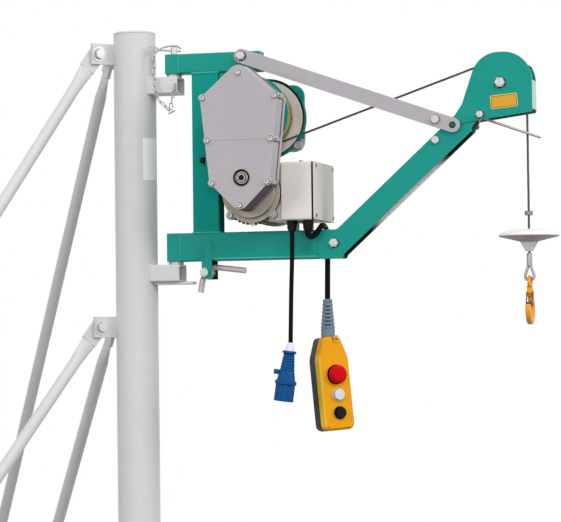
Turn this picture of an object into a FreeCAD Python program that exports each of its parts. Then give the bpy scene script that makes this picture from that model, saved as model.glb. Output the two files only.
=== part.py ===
"""Scaffold hoist: a swinging jib with an electric rope winch, carried by a braced mast.

Millimetres, +Z up, +X along the jib's reach, origin on the mast's axis at the underside of its foot.
"""
import math
import os

import FreeCAD
import Part

V = FreeCAD.Vector

# Clearances
SEAT = 0.3        # between pieces that lie against each other
RUN = 0.06        # radial, between a shaft and the bore that it turns in
SIDE = 1.0        # beside a piece that turns between two cheeks

# Frame of the jib: two arms and a riser of oblong tube
JIB_Z = 809.0              # underside of the lower arm above the ground
FRAME_RISE = 397.5         # underside of the upper arm above that of the lower one
ARM_W = 40.0
ARM_WALL = 3.0
ARM_ROUND = 4.0
LOWER_ARM_H = 60.0
LOWER_ARM_L = 358.0        # from the hinge pin
UPPER_ARM_H = 42.0
UPPER_ARM_L = 192.5
RISER_OUT = 43.5           # riser's rear face from the hinge pin
RISER_W = 59.0

# Mast, foot and braces
MAST_R = 45.0
MAST_WALL = 4.0
MAST_RISE = 51.5           # above the upper arm
CAP_T = 5.0
CAP_ROUND = 2.0
FOOT_SIDE = 220.0
FOOT_T = 12.0
FOOT_ROUND = 13.0
FOOT_HOLE_R = 9.0
FOOT_HOLES_X = 80.0        # spacings of the foot's holes
FOOT_HOLES_Y = 190.0
LEG_ANGLE = 130.0          # of each rear leg from +X
LEG_ASIDE = 18.0           # leg's middle plane behind the mast's axis
LEG_START = 38.0
LEG_PLUG = 12.0            # closed inner end of a leg
LEG_SIDE = 50.0
LEG_WALL = 4.0
LEG_END_ROOM = 70.0        # leg beyond the outer brace's bolt
PAD_SIDE = 130.0
PAD_HOLE_IN = 18.0         # pad's hole from its edge
LUG_T = 8.0
LUG_HEIGHT = 44.0
LUG_BOLT_OUT = 35.0        # bolt beyond the mast's surface
LUG_END = 16.0             # lug beyond its bolt
LUG_BOLT_R = 8.0
LEG_LUG_BOLT_UP = 30.0     # bolt above the leg's top face
UPPER_LUG_DOWN = 48.0      # below the mast's top
LOWER_LUG_DOWN = 136.0     # below the lower arm
UPPER_BRACE_SLOPE = 35.5   # degrees from plumb
LOWER_BRACE_SLOPE = 38.6
BRACE_R = 12.5
BRACE_TAB_T = 8.0
BRACE_TAB_W = 36.0
BRACE_FLAT = 40.0          # bolt to the end of the flat
BRACE_TAPER = 55.0         # length over which the tube is flattened
BRACE_TAB_INSET = 0.2      # flattened end of the tube inside the tab

# Hinge of the jib
PIN_X = 88.0
PIN_R = 7.0
PIN_COLLAR_R = 16.0
PIN_COLLAR_H = 5.4
PIN_ABOVE_ARM = 17.0
BRACKET_W = 55.0
BRACKET_H = 36.0
BRACKET_WALL = 4.0
BRACKET_END = 14.0         # beyond the pin
SLEEVE_BACK = 15.0         # sleeve block behind and before the pin
SLEEVE_FRONT = 14.0
SLEEVE_ROUND = 3.0
CLIP_WIRE_R = 1.8
CLIP_DOWN = 8.0            # clip's hole below the pin's top
CLIP_TAIL = 9.0            # straight leg beyond the pin
CLIP_NECK = 32.0           # from the pin's surface to the ring
CLIP_RING_R = 5.0
CLIP_TURN = 46.0           # clip from the mast's side towards -Y

# Boom: folded channel, open below; its side plates wrap the lower arm's end
BOOM_T = 2.5
BOOM_ANGLE = 42.2
BOOM_DEPTH = 48.0
BOOM_LENGTH = 340.0        # of the lower edge
BOOM_FOOT_BACK = 42.0      # side plates reach back over the arm
BOOM_HEEL = 8.0            # and beyond the arm's end
BOOM_HEEL_STEP = 4.0       # from the heel to the lower edge
BOOM_ROUNDS = (2.0, 6.0, 3.0, 3.0, 3.0, 12.0, 2.0)
BOOM_TOP_BACK = 2.0        # upper edge leaves the arm's top this far before its end
WEB_START = 8.4            # web starts clear of the arm
WEB_END = 6.0              # and stops short of the head
KNUCKLE_BACK = 8.0
KNUCKLE_UP = 32.0
CROSS_PIN_R = 6.0
CROSS_HEAD_R = 10.0
CROSS_HEAD_H = 6.0

# Head with its sheave, placed from the upper end of the boom's lower edge
HEAD_T = 2.5
HEAD_OUTLINE = [(-83.0, -81.0), (-28.0, -73.0), (66.0, -61.0), (66.0, 63.0), (-44.0, 63.0), (-80.0, -42.0),
                (-98.0, -68.0)]    # x and z from the sheave's axis
HEAD_ROUNDS = (4.0, 40.0, 3.0, 60.0, 58.0, 30.0, 6.0)
HEAD_RIM_BACK = 30.0       # folded rim reaches back from the sheave's axis
HEAD_RIM_DOWN = 55.0       # and down from it
SHEAVE_OUT = 64.0
SHEAVE_UP = 99.2
SHEAVE_ROPE_R = 51.0       # to the rope's centre
SHEAVE_W = 16.0
SHEAVE_RIM = 2.5           # rim beyond the rope's centre
SHEAVE_HUB = 8.0           # hub's wall
SHEAVE_WEB = 4.0           # web thinner than the rim on each side
SHEAVE_RIM_T = 8.0         # rim below the groove
SHEAVE_LIP = 1.5           # groove's bottom round
AXLE_R = 8.0
AXLE_HEAD_R = 11.0
AXLE_HEAD_H = 7.0
WINDOW_LOW = 4.0           # rim's front window above the sheave's axis
WINDOW_HIGH = 34.0
LIMIT_PIN_OUT = -42.5      # limit lever's pivot, tip and tail from the sheave's axis
LIMIT_PIN_UP = -64.0
LIMIT_PIN_R = 5.0
LIMIT_HEAD_R = 8.0
LIMIT_TIP_OUT = 76.0
LIMIT_TIP_UP = -113.0
LIMIT_TAIL_OUT = -56.0
LIMIT_TAIL_UP = -87.0
LIMIT_WIRE_R = 2.5
LIMIT_GAP = 18.0           # between the two wires' centres
LIMIT_HUB_R = 8.0
LIMIT_TAIL_R = 3.5
LIMIT_ROLLER_R = 6.0

# Tie bars from the upper arm to the boom's end
TIE_T = 6.0
TIE_W = 30.0
TIE_BACK = 36.0            # bolt before the upper arm's end
TIE_DOWN = 11.0            # bolt below the upper arm's top
TIE_END_OUT = -99.0        # pin at the head from the sheave's axis
TIE_END_UP = -84.0
TIE_SPACER_BACK = 38.0     # distance bolt before that pin
TIE_SPACER_R = 9.0

# Rope and load gear, heights down the rope from the sheave's axis
ROPE_R = 2.5
STOP_DOWN = 272.0
STOP_R = 8.5
STOP_H = 9.0
WEIGHT_DOWN = 312.5        # to its rim
WEIGHT_R = 62.0
WEIGHT_RIM = 3.0
WEIGHT_DOME = 13.0
WEIGHT_DOME_STEPS = (0.96, 0.86, 0.72, 0.55, 0.36, 0.2)    # shares of its radius
WEIGHT_CONE_R = 24.0
WEIGHT_CONE = 10.0
WEIGHT_BOSS_R = 19.0
WEIGHT_BOSS_END_R = 7.5
WEIGHT_BOSS = 20.0
FERRULE_DOWN = 349.0
FERRULE_H = 27.0
FERRULE_R = 5.6
FERRULE_EDGE = 1.5
THIMBLE_WIRE_R = 3.0
THIMBLE_HALF = 9.3         # half width to the wire's centre
THIMBLE_DROP = 29.0        # ferrule's foot to the lowest point of the wire's centre
HOOK_T = 11.0
HOOK_EYE_T = 7.0           # eye is thinner, so that it lies in the thimble
HOOK_EYE_R = 7.5
HOOK_EYE_RIM = 6.0
HOOK_BOWL_R = 17.0
HOOK_BOWL_RIM = 14.0
HOOK_BOWL_DROP = 56.0      # bowl's middle below the eye's
HOOK_NECK_W = 15.0
HOOK_BACK = ((-4.0, 6.0), (-9.0, 16.0))    # back of the neck, y from the bowl's edge and z from its middle
HOOK_MOUTH = ((-36.0, 13.0), (-4.0, 3.0), (1.5, 14.0), (1.5, 24.0), (-7.5, 34.0), (-36.0, 42.0))
HOOK_MOUTH_ROUNDS = (0.0, 0.0, 3.0, 4.0, 4.0, 0.0)
HOOK_NECK_ROUNDS = (0.0, 0.0, 6.0, 4.0, 0.0)
LATCH_T = 1.5
LATCH_PIN_Y = 0.0
LATCH_PIN_UP = 33.0        # above the bowl's middle
LATCH_PIN_R = 2.0
LATCH_END_Y = -13.2
LATCH_END_UP = 5.5
LATCH_EYE = 4.0            # half width at the pin
LATCH_TIP = 2.0            # half width at the end
LATCH_SKIN_FROM = 21.0      # front sheet starts below the pin
LATCH_ROUND = 1.0

# Winch: gear unit in front, drum behind it, motor below
WINCH_OUT = 83.5           # its axes from the riser
GEAR_BACK = 3.0            # gear unit's middle before its axes
DRUM_UP = 302.0            # axes above the lower arm's underside
MOTOR_UP = 137.0
COVER_FRONT = -150.0
COVER_BACK = -104.5
GASKET_T = 4.0
GASKET_LIP = 1.0           # gasket beyond the cover's edge
CASE_BACK = -80.0
SHOULDER_HALF = 83.0
SHOULDER_UP = 29.0         # above the drum's axis
APEX_UP = 102.5
LOWER_HALF = 64.5
LOWER_UP = 18.0            # above the motor's axis
TOE_DOWN = 47.0
COVER_DRAFT = 1.0
COVER_STEP = 0.8           # face set back below its middle screws
COVER_ROUND = 12.0
COVER_TIP_ROUND = 21.0
SCREW_BOSS_R = 8.0
SCREW_BOSS_OUT = 1.0
SCREW_INSET = 6.0
APEX_SCREW_INSET = 23.5
TOE_SCREW_INSET = 18.0
POCKET_DEPTH = 3.0         # slits in the side walls beside the screws
POCKET_BACK = 6.0          # from the cover's face
POCKET_L = 16.0
POCKET_H = 4.0
OIL_PLUG_OUT = 5.0         # beside the gear unit's middle
OIL_PLUG_UP = 27.5         # above the motor's axis
OIL_RECESS_R = 16.0
OIL_RECESS_DEPTH = 8.0
OIL_HEX_R = 9.0
PLATE_T = 8.0
PLATE_LAP = 12.0           # over the riser's face
PLATE_HALF = 52.0
PLATE_ABOVE = 25.0         # above the drum's axis
PLATE_LOW_UP = 56.0        # lower edge above the motor's axis
PLATE_BLOCK_H = 44.0
PLATE_BLOCK_IN = 10.0      # blocks from the plate's upper and lower edges
PLATE_ROUND = 10.0
ADAPTER_R = 52.0           # round seat of the motor on the gear case
SHAFT_R = 15.0
DRUM_NEAR = -66.0
DRUM_FAR = 56.0
DRUM_FLANGE_R = 80.0
DRUM_FLANGE_T = 6.0
DRUM_CORE_R = 55.0
DRUM_ROPE_R = 67.5         # to the centre of the rope's top layer
WINDING_END = 20.0
WINDING_PITCH = 5.2
WINDING_CREST = (0.3, 0.7)  # flat crest of a turn, as shares of the pitch
LEAD_HALF = 3.2            # half width of the free turn that the rope leaves from
SUPPORT_GAP = 6.0          # between the drum and its support
SUPPORT_T = 5.0
SUPPORT_R = 86.0
SUPPORT_ARM_H = 70.0
SUPPORT_LAP = 50.0         # over the riser's face
BEARING_W = 160.0
BEARING_H = 142.0
BEARING_T = 10.0
BEARING_ROUND = 24.0
BEARING_HUB_R = 32.0
BEARING_HUB_H = 14.0
BEARING_END = 3.0          # closed end of the hub
BEARING_RIB_T = 8.0        # ribs from the hub to the corners
BEARING_RIB_H = 9.0
BEARING_RIB_REACH = 74.0
MOTOR_SHIELD_R = 62.0
MOTOR_SHIELD_T = 13.0
MOTOR_EAR = 45.0           # bolt ears beside and above the motor's axis
MOTOR_EAR_R = 9.5
MOTOR_CORE_R = 53.0
MOTOR_FIN_R = 60.0
MOTOR_FIN_T = 3.0
MOTOR_FINS = 28
FIN_ROOT = 2.0             # fin's root inside the core
MOTOR_LENGTH = 165.0
FAN_COVER_R = 61.0
FAN_COVER_L = 52.0
FAN_COVER_ROUND = 16.0
FAN_SLOTS = 16
FAN_SLOT_W = 5.0
FAN_SLOT_IN = 14.0         # slots from and to these distances from the axis
FAN_SLOT_OUT = 42.0
FAN_SLOT_DEPTH = 6.0

# Control box
BOX_GAP = 2.0              # beside the motor's shield
BOX_DEPTH = 67.0
LID_DEPTH = 4.5
LID_BEVEL = 1.0
LID_GAP = 1.5
BOX_NEAR = -70.0
BOX_LENGTH = 162.0
BOX_H = 121.0
BOX_ROUND = 5.0
BOX_FOOT_H = 19.0
BOX_FOOT_IN = 14.0         # strap from the box's inner face
BOX_FOOT_W = 34.0
BOX_FOOT_T = 3.0
BOX_FOOT_LAP = 6.0         # strap narrower than the arm on each side
GLAND_Y = -56.0
SUPPLY_GLAND_IN = 19.0     # glands from the box's inner face
PENDANT_GLAND_IN = 53.0
GLAND_NUT_R = 11.5
GLAND_NUT_H = 9.0
GLAND_DOME_H = 14.0
GLAND_LIP = 2.5            # round the cord
GLAND_DOME_IN = 1.5        # dome smaller than the nut

# Swing lock under the lower arm
LOCK_PLATE_T = 6.0
LOCK_PLATE_HALF = 15.0
LOCK_PLATE_REACH = 43.0    # from the hinge pin
LOCK_SLOT_HALF = 7.5
LOCK_SLOT_DEPTH = 20.0
LOCK_PIVOT_OUT = 71.0      # from the hinge pin
LOCK_PIVOT_DOWN = 24.0     # below the lower arm
LOCK_PIVOT_R = 5.0
LOCK_HEAD_R = 9.5
LOCK_HEAD_H = 5.0
LOCK_HUB_R = 10.0
LOCK_BAR_R = 6.2
LOCK_BAR = [(82.0, 3.0), (34.0, 9.0), (8.0, 11.5), (-4.0, -1.0), (-13.0, -14.0),
            (-17.5, -41.5)]    # handle to peg, x and z from the pivot
LOCK_CHEEK_W = 22.0
LOCK_CHEEK_BACK = 8.0      # cheek's rear edge from the pivot
LOCK_CHEEK_T = 4.0
LOCK_CHEEK_UP = 42.0       # over the arm's side
LOCK_CHEEK_BELOW = 14.0    # below the pivot
LOCK_CHEEK_STEP = 6.0      # narrower from above the arm's lower edge

# Cords with plug and pendant
SUPPLY_R = 4.2
PENDANT_CORD_R = 5.0
PLUG_TILT = 8.0
PLUG_NECK = [(5.6, 0.0), (9.6, 15.0), (9.6, 17.0), (14.5, 18.0), (14.5, 22.0)]    # radius, depth
PLUG_BODY = [(16.0, 62.0), (19.0, 78.0), (22.5, 81.0), (22.5, 86.0), (20.3, 88.0)]
PLUG_GRIP = ((11.5, 24.0), (15.6, 59.0))    # ribbed taper between neck and body
PLUG_RIBS = 6
PLUG_GROOVE = 0.9
PLUG_RIB = ((0.0, 1.0), (0.2, 0.0), (0.7, 0.0), (0.9, 1.0))    # share of the step, depth of groove
PLUG_SHROUD_END = 122.0
PLUG_SHROUD_T = 3.0
PLUG_FLOOR = 96.0          # depth of the shroud's floor
PLUG_PIN_R = 2.5
PLUG_PIN_CIRCLE = 9.0
PLUG_PIN_L = 17.0
PLUG_PINS = 3
PLUG_LATCH = ((-27.0, -5.0, -68.0), (-13.0, 5.0, -58.0))
PENDANT_TURN = 41.0        # the face's normal from -Y towards +X
PENDANT_TILT = 5.2         # case askew below its plumb boot
PENDANT_ASIDE = -3.0       # case's middle from the boot's axis, along its face
PENDANT_W = 68.0
PENDANT_FRONT = 25.0
PENDANT_BACK = 33.0
PENDANT_H = 196.0
PENDANT_ROUND = 14.0
PENDANT_SHOULDER_W = 16.0
PENDANT_SHOULDER_H = 45.0
PENDANT_SHOULDER_ROUND = 40.0
PENDANT_TOP_ROUND = 10.0
FRONT_BEVEL = 5.0
BACK_BEVEL = 6.0
BACK_INSET = 0.6
BOOT_H = 80.0
BOOT_TOP_R = 9.5
BOOT_END_R = 14.5
BOOT_RIBS = 8
BOOT_RIBBED = 62.0         # ribbed length
BOOT_GROOVE = 1.4
BOOT_RIB = ((0.2, 1.0), (0.35, 0.0), (0.85, 0.0), (1.0, 1.0))    # share of the step, depth of groove
BOOT_LIP = 2.0             # its top smaller than the first rib
BOOT_SPARE = 3.0           # at its foot, before it is cut to the tilted case
BUTTON_TRAVEL = 4.0
BUTTON_STEM_R = 8.0
BUTTON_WELL = 12.0         # floor of the wells from the seam
BUTTON_CAP = 4.0           # thickness of a push button's cap
BUTTON_EDGE = 1.2
STOP_BUTTON_R = 19.0
STOP_BUTTON_CAP = 12.0
STOP_BUTTON_EDGE = 6.0
STOP_BUTTON_DOWN = 80.0    # below the pendant's top
PUSH_R = 11.5
UP_BUTTON_DOWN = 122.0
DOWN_BUTTON_DOWN = 160.0

# Routes of the two cords, straight out of their glands
SUPPLY_ROUTE = [(357.0, -56.0, 865.0), (357.2, -56.0, 840.0), (356.4, -57.0, 800.0), (354.0, -57.5, 740.0),
                (352.4, -56.6, 682.0), (351.0, -56.0, 635.0)]
PENDANT_ROUTE = [(391.0, -56.0, 865.0), (391.0, -56.0, 859.0), (392.5, -54.0, 852.0), (396.0, -47.5, 848.5),
                 (400.5, -40.0, 849.5), (405.0, -36.0, 856.5), (409.0, -34.5, 865.0), (411.8, -31.5, 873.0),
                 (413.0, -22.0, 878.3), (411.5, -8.0, 878.5), (409.5, 8.0, 878.5), (408.0, 22.0, 877.8),
                 (408.5, 33.5, 869.5), (409.5, 38.0, 852.0), (409.2, 37.5, 820.0), (408.8, 35.4, 771.0),
                 (408.5, 34.0, 726.0)]


def box(low, high):
    """A block between two corners."""
    size = V(*high) - V(*low)
    return Part.makeBox(size.x, size.y, size.z, V(*low))


def rod(start, end, radius):
    """A round bar from one point to another."""
    axis = V(*end) - V(*start)
    return Part.makeCylinder(radius, axis.Length, V(*start), axis)


def across(x, z, radius, low_y, high_y):
    """A round bar along Y."""
    return rod((x, low_y, z), (x, high_y, z), radius)


def upright(x, y, radius, low_z, high_z):
    """A round bar along Z."""
    return rod((x, y, low_z), (x, y, high_z), radius)


def join(shapes):
    """Shapes that touch or overlap, as one."""
    return shapes[0].multiFuse(shapes[1:]).removeSplitter()


def group(solids):
    """Separate solids of one node."""
    return Part.makeCompound(solids)


def rounded_wire(points, radii):
    """A closed wire of straight sides whose corners are rounded, corner by corner."""
    count = len(points)
    entries = []
    for index in range(count):
        corner = points[index]
        before = (points[index - 1] - corner).normalize()
        after = (points[(index + 1) % count] - corner).normalize()
        radius = radii[index]
        half = before.getAngle(after) / 2
        reach = radius / math.tan(half)
        middle = corner + (before + after).normalize() * (radius / math.sin(half) - radius)
        entries.append((corner + before * reach, middle, corner + after * reach))
    edges = []
    for index in range(count):
        first, middle, last = entries[index]
        if radii[index] > 0:
            edges.append(Part.Arc(first, middle, last).toShape())
        following = entries[(index + 1) % count][0]
        if (following - last).Length > 1e-6:
            edges.append(Part.LineSegment(last, following).toShape())
    return Part.Wire(edges)


def side_wire(points, radii, y):
    """A rounded wire in the plane across Y; points are x and z."""
    return rounded_wire([V(x, y, z) for x, z in points], radii)


def side_plate(points, radii, low_y, high_y):
    """A plate across Y, cut to an outline of x and z."""
    return Part.Face(side_wire(points, radii, low_y)).extrude(V(0, high_y - low_y, 0))


def turned(profile, base, axis):
    """A solid of revolution; profile is a closed list of radius and height along the axis."""
    wire = Part.makePolygon([V(r, 0, h) for r, h in profile] + [V(profile[0][0], 0, profile[0][1])])
    solid = Part.Face(wire).revolve(V(0, 0, 0), V(0, 0, 1), 360)
    solid.Placement = FreeCAD.Placement(V(*base), FreeCAD.Rotation(V(0, 0, 1), V(*axis)))
    return solid


def hexagon(base, axis, radius, height):
    """A hexagonal prism; radius is to its corners."""
    corners = [V(radius * math.cos(math.radians(60 * k)), radius * math.sin(math.radians(60 * k)), 0)
               for k in range(7)]
    solid = Part.Face(Part.makePolygon(corners)).extrude(V(0, 0, height))
    solid.Placement = FreeCAD.Placement(V(*base), FreeCAD.Rotation(V(0, 0, 1), V(*axis)))
    return solid


def route_wire(points, share=0.45, report=None):
    """Straight runs joined by tangent arcs, each as large as its two runs allow."""
    points = [V(*p) for p in points]
    edges = []
    start = points[0]
    radii = []
    for before, corner, after in zip(points, points[1:], points[2:]):
        back = before - corner
        ahead = after - corner
        reach = share * min(back.Length, ahead.Length)
        half = back.getAngle(ahead) / 2
        radius = reach * math.tan(half)
        radii.append(radius)
        first = corner + V(back).normalize() * reach
        last = corner + V(ahead).normalize() * reach
        inward = (V(back).normalize() + V(ahead).normalize()).normalize()
        middle = corner + inward * (radius / math.sin(half) - radius)
        edges.append(Part.LineSegment(start, first).toShape())
        edges.append(Part.Arc(first, middle, last).toShape())
        start = last
    edges.append(Part.LineSegment(start, points[-1]).toShape())
    if report:
        print(report, "radii", " ".join("%.1f" % r for r in radii))
    return Part.Wire(edges)


def swept(wire, radius):
    """A round bar along a wire."""
    first = wire.OrderedEdges[0]
    start = first.valueAt(first.FirstParameter)
    ring = Part.makeCircle(radius, start, first.tangentAt(first.FirstParameter))
    return wire.makePipeShell([Part.Wire([ring])], True, True)


def rounded_block(low, high, radius, axis):
    """A block whose edges along one axis are rounded."""
    block = box(low, high)
    edges = [e for e in block.Edges
             if abs(abs(e.tangentAt(e.FirstParameter).dot(axis)) - 1) < 1e-6]
    return block.makeFillet(radius, edges)


def hollow_bar(low, high, wall, axis, rounding=0, end_wall=0, start_wall=0):
    """A square or oblong tube along the named axis, open at its ends where no wall closes them."""
    inner_low = [value + (start_wall if name == axis else wall) for value, name in zip(low, "xyz")]
    inner_high = [value - (end_wall if name == axis else wall) for value, name in zip(high, "xyz")]
    outer = box(low, high)
    if rounding:
        outer = rounded_block(low, high, rounding, V(*[float(name == axis) for name in "xyz"]))
    return outer.cut(box(inner_low, inner_high))


def mirrored(shape):
    """The same shape on the other side of the jib's middle plane."""
    return shape.mirror(V(0, 0, 0), V(0, 1, 0))


def both_sides(shape):
    """A shape and its mirror image, as two solids."""
    return group([shape, mirrored(shape)])


def to_leg(shape):
    """From an upright plane along X, through the mast's axis, to the near leg's plane."""
    turned_shape = shape.copy()
    turned_shape.translate(V(0, -LEG_ASIDE, 0))
    turned_shape.rotate(V(0, 0, 0), V(0, 0, 1), -LEG_ANGLE)
    return turned_shape


# Values that follow from the sizes above
arm_half = ARM_W / 2
lower_arm_top = JIB_Z + LOWER_ARM_H
lower_arm_end = PIN_X + LOWER_ARM_L
upper_arm_z = JIB_Z + FRAME_RISE
upper_arm_top = upper_arm_z + UPPER_ARM_H
upper_arm_end = PIN_X + UPPER_ARM_L
riser_x = PIN_X + RISER_OUT
riser_end = riser_x + RISER_W
sleeve_end = PIN_X + SLEEVE_FRONT
bracket_drop = PIN_COLLAR_H + 2 * SEAT
pin_top = upper_arm_top + PIN_ABOVE_ARM
clip_z = pin_top - CLIP_DOWN
clip_out = V(-math.cos(math.radians(CLIP_TURN)), -math.sin(math.radians(CLIP_TURN)), 0)

mast_top = upper_arm_top + MAST_RISE
lug_bolt = MAST_R + LUG_BOLT_OUT
upper_lug_z = mast_top - UPPER_LUG_DOWN
lower_lug_z = JIB_Z - LOWER_LUG_DOWN
leg_top = FOOT_T + LEG_SIDE
leg_bolt_z = leg_top + LEG_LUG_BOLT_UP
upper_land = lug_bolt + (upper_lug_z - leg_bolt_z) * math.tan(math.radians(UPPER_BRACE_SLOPE))
lower_land = lug_bolt + (lower_lug_z - leg_bolt_z) * math.tan(math.radians(LOWER_BRACE_SLOPE))
leg_end = upper_land + LEG_END_ROOM

boom_in = arm_half + SEAT
boom_out = boom_in + BOOM_T
boom_slope = math.radians(BOOM_ANGLE)
boom_along = V(math.cos(boom_slope), 0, math.sin(boom_slope))
boom_inward = V(math.sin(boom_slope), 0, -math.cos(boom_slope))
boom_top_start = V(lower_arm_end - BOOM_TOP_BACK, 0, lower_arm_top)
boom_low_start = boom_top_start + boom_inward * BOOM_DEPTH
boom_low_end = boom_low_start + boom_along * BOOM_LENGTH
knuckle_x = lower_arm_end - KNUCKLE_BACK
knuckle_z = JIB_Z + KNUCKLE_UP

head_half = boom_out + SEAT + HEAD_T
sheave_x = boom_low_end.x + SHEAVE_OUT
sheave_z = boom_low_end.z + SHEAVE_UP
rope_x = sheave_x + SHEAVE_ROPE_R
limit_pin = (sheave_x + LIMIT_PIN_OUT, sheave_z + LIMIT_PIN_UP)
limit_tip = (sheave_x + LIMIT_TIP_OUT, sheave_z + LIMIT_TIP_UP)
limit_tail = (sheave_x + LIMIT_TAIL_OUT, sheave_z + LIMIT_TAIL_UP)
tie_in = head_half + SEAT
tie_start = (upper_arm_end - TIE_BACK, upper_arm_top - TIE_DOWN)
tie_end = (sheave_x + TIE_END_OUT, sheave_z + TIE_END_UP)

ferrule_top = sheave_z - FERRULE_DOWN
ferrule_foot = ferrule_top - FERRULE_H
thimble_low = ferrule_foot - THIMBLE_DROP
thimble_in = THIMBLE_HALF - THIMBLE_WIRE_R
thimble_mid = thimble_low + THIMBLE_HALF
hook_eye_z = thimble_mid - math.sqrt(thimble_in ** 2 - (HOOK_EYE_T / 2) ** 2) + SEAT - HOOK_EYE_R
hook_bowl_z = hook_eye_z - HOOK_BOWL_DROP
latch_pin = (LATCH_PIN_Y, hook_bowl_z + LATCH_PIN_UP)
latch_end = (LATCH_END_Y, hook_bowl_z + LATCH_END_UP)

winch_x = riser_end + WINCH_OUT
gear_x = winch_x - GEAR_BACK
drum_z = JIB_Z + DRUM_UP
motor_z = JIB_Z + MOTOR_UP
support_y = DRUM_FAR + SUPPORT_GAP
bearing_y = support_y + SUPPORT_T
bearing_end = bearing_y + BEARING_T + BEARING_HUB_H
shaft_end = bearing_end - BEARING_END
shoulder_z = drum_z + SHOULDER_UP
lower_z = motor_z + LOWER_UP
apex_z = drum_z + APEX_UP
toe_z = motor_z - TOE_DOWN
motor_front = CASE_BACK + PLATE_T
motor_body_start = motor_front + MOTOR_SHIELD_T
motor_body_end = motor_front + MOTOR_LENGTH

box_x = winch_x + MOTOR_SHIELD_R + BOX_GAP
box_z = lower_arm_top + BOX_FOOT_H
lid_x = box_x + BOX_DEPTH + LID_GAP
box_far = BOX_NEAR + BOX_LENGTH
lock_pivot = (PIN_X + LOCK_PIVOT_OUT, JIB_Z - LOCK_PIVOT_DOWN)


def mast_tube():
    outer = upright(0, 0, MAST_R, FOOT_T, mast_top - CAP_T)
    return outer.cut(upright(0, 0, MAST_R - MAST_WALL, FOOT_T, mast_top - CAP_T))


def mast_cap():
    lip = MAST_R - MAST_WALL - SEAT
    low = mast_top - CAP_T
    profile = [(0, low - CAP_T), (lip, low - CAP_T), (lip, low), (MAST_R, low),
               (MAST_R, mast_top - CAP_ROUND), (MAST_R - CAP_ROUND, mast_top), (0, mast_top)]
    return turned(profile, (0, 0, 0), (0, 0, 1))


def mast_foot():
    half = FOOT_SIDE / 2
    plate = rounded_block((-half, -half, 0), (half, half, FOOT_T), FOOT_ROUND, V(0, 0, 1))
    for x in (-FOOT_HOLES_X / 2, FOOT_HOLES_X / 2):
        for y in (-FOOT_HOLES_Y / 2, FOOT_HOLES_Y / 2):
            plate = plate.cut(upright(x, y, FOOT_HOLE_R, 0, FOOT_T))
    return plate


def bolt_ear(plate, x, z):
    """A flat plate across Y with a round end and a bolt hole at a point."""
    half = LUG_T / 2
    ear = join([plate, across(x, z, LUG_HEIGHT / 2, -half, half)])
    return ear.cut(across(x, z, LUG_BOLT_R, -half, half))


def base_legs():
    half = LEG_SIDE / 2
    leg = hollow_bar((LEG_START, -half, FOOT_T), (leg_end, half, leg_top), LEG_WALL, "x", ARM_ROUND,
                     LEG_WALL, LEG_PLUG)
    leg = leg.cut(upright(0, LEG_ASIDE, MAST_R + SEAT, FOOT_T, leg_top))
    ears = []
    ear_half = LUG_HEIGHT / 2
    for place in (upper_land, lower_land):
        plate = box((place - ear_half, -LUG_T / 2, leg_top), (place + ear_half, LUG_T / 2, leg_bolt_z))
        ears.append(bolt_ear(plate, place, leg_bolt_z))
    return both_sides(to_leg(join([leg] + ears)))


def leg_pads():
    half = PAD_SIDE / 2
    middle = leg_end - half
    pad = rounded_block((middle - half, -half, 0), (middle + half, half, FOOT_T), FOOT_ROUND, V(0, 0, 1))
    return both_sides(to_leg(pad.cut(upright(middle, half - PAD_HOLE_IN, FOOT_HOLE_R, 0, FOOT_T))))


def brace_lugs():
    lugs = []
    for z in (upper_lug_z, lower_lug_z):
        low = z - LUG_HEIGHT / 2
        high = z + LUG_HEIGHT / 2
        plate = box((0, -LUG_T / 2, low), (lug_bolt + LUG_END, LUG_T / 2, high))
        plate = plate.cut(across(lug_bolt, z, LUG_BOLT_R, -LUG_T / 2, LUG_T / 2))
        lug = to_leg(plate.cut(upright(0, LEG_ASIDE, MAST_R + SEAT, low, high)))
        lugs += [lug, mirrored(lug)]
    return group(lugs)


def brace(top_z, land):
    """A tube with both ends flattened, bolted behind the mast's lug and the leg's ear."""
    top = V(lug_bolt, 0, top_z)
    foot = V(land, 0, leg_bolt_z)
    length = (foot - top).Length
    half_w = BRACE_TAB_W / 2
    half_t = BRACE_TAB_T / 2
    end_length = BRACE_FLAT + BRACE_TAPER

    def end(bolt, inward):
        """Flat tab round a bolt and the taper from it to the tube."""
        flat = sorted([bolt, bolt + inward * BRACE_FLAT])
        tab = box((-half_w, -half_t, flat[0]), (half_w, half_t, flat[1]))
        tab = join([tab, across(0, bolt, half_w, -half_t, half_t)])
        tab = tab.cut(across(0, bolt, LUG_BOLT_R, -half_t, half_t))
        oval = Part.Ellipse(V(0, 0, bolt + inward * (BRACE_FLAT - SIDE)), half_w - BRACE_TAB_INSET,
                            half_t - BRACE_TAB_INSET)
        ring = Part.Circle(V(0, 0, bolt + inward * end_length), V(0, 0, 1), BRACE_R)
        return [tab, Part.makeLoft([Part.Wire([oval.toShape()]), Part.Wire([ring.toShape()])], True)]

    tube = upright(0, 0, BRACE_R, end_length, length - end_length)
    solid = join(end(0, 1) + [tube] + end(length, -1))
    solid.translate(V(0, -LUG_T / 2 - SEAT - half_t, 0))
    tilt = FreeCAD.Rotation(V(0, 0, 1), foot - top)
    solid.Placement = FreeCAD.Placement(top, tilt).multiply(solid.Placement)
    return both_sides(to_leg(solid))


def bracket(arm_bottom):
    """A stub of oblong tube welded to the mast under an arm, bored for the hinge pin."""
    top = arm_bottom - bracket_drop
    low = top - BRACKET_H
    half = BRACKET_W / 2
    stub = hollow_bar((0, -half, low), (PIN_X + BRACKET_END, half, top), BRACKET_WALL, "x", ARM_ROUND)
    stub = stub.cut(upright(0, 0, MAST_R + SEAT, low, top))
    return stub.cut(upright(PIN_X, 0, PIN_R + RUN, low, top))


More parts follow.
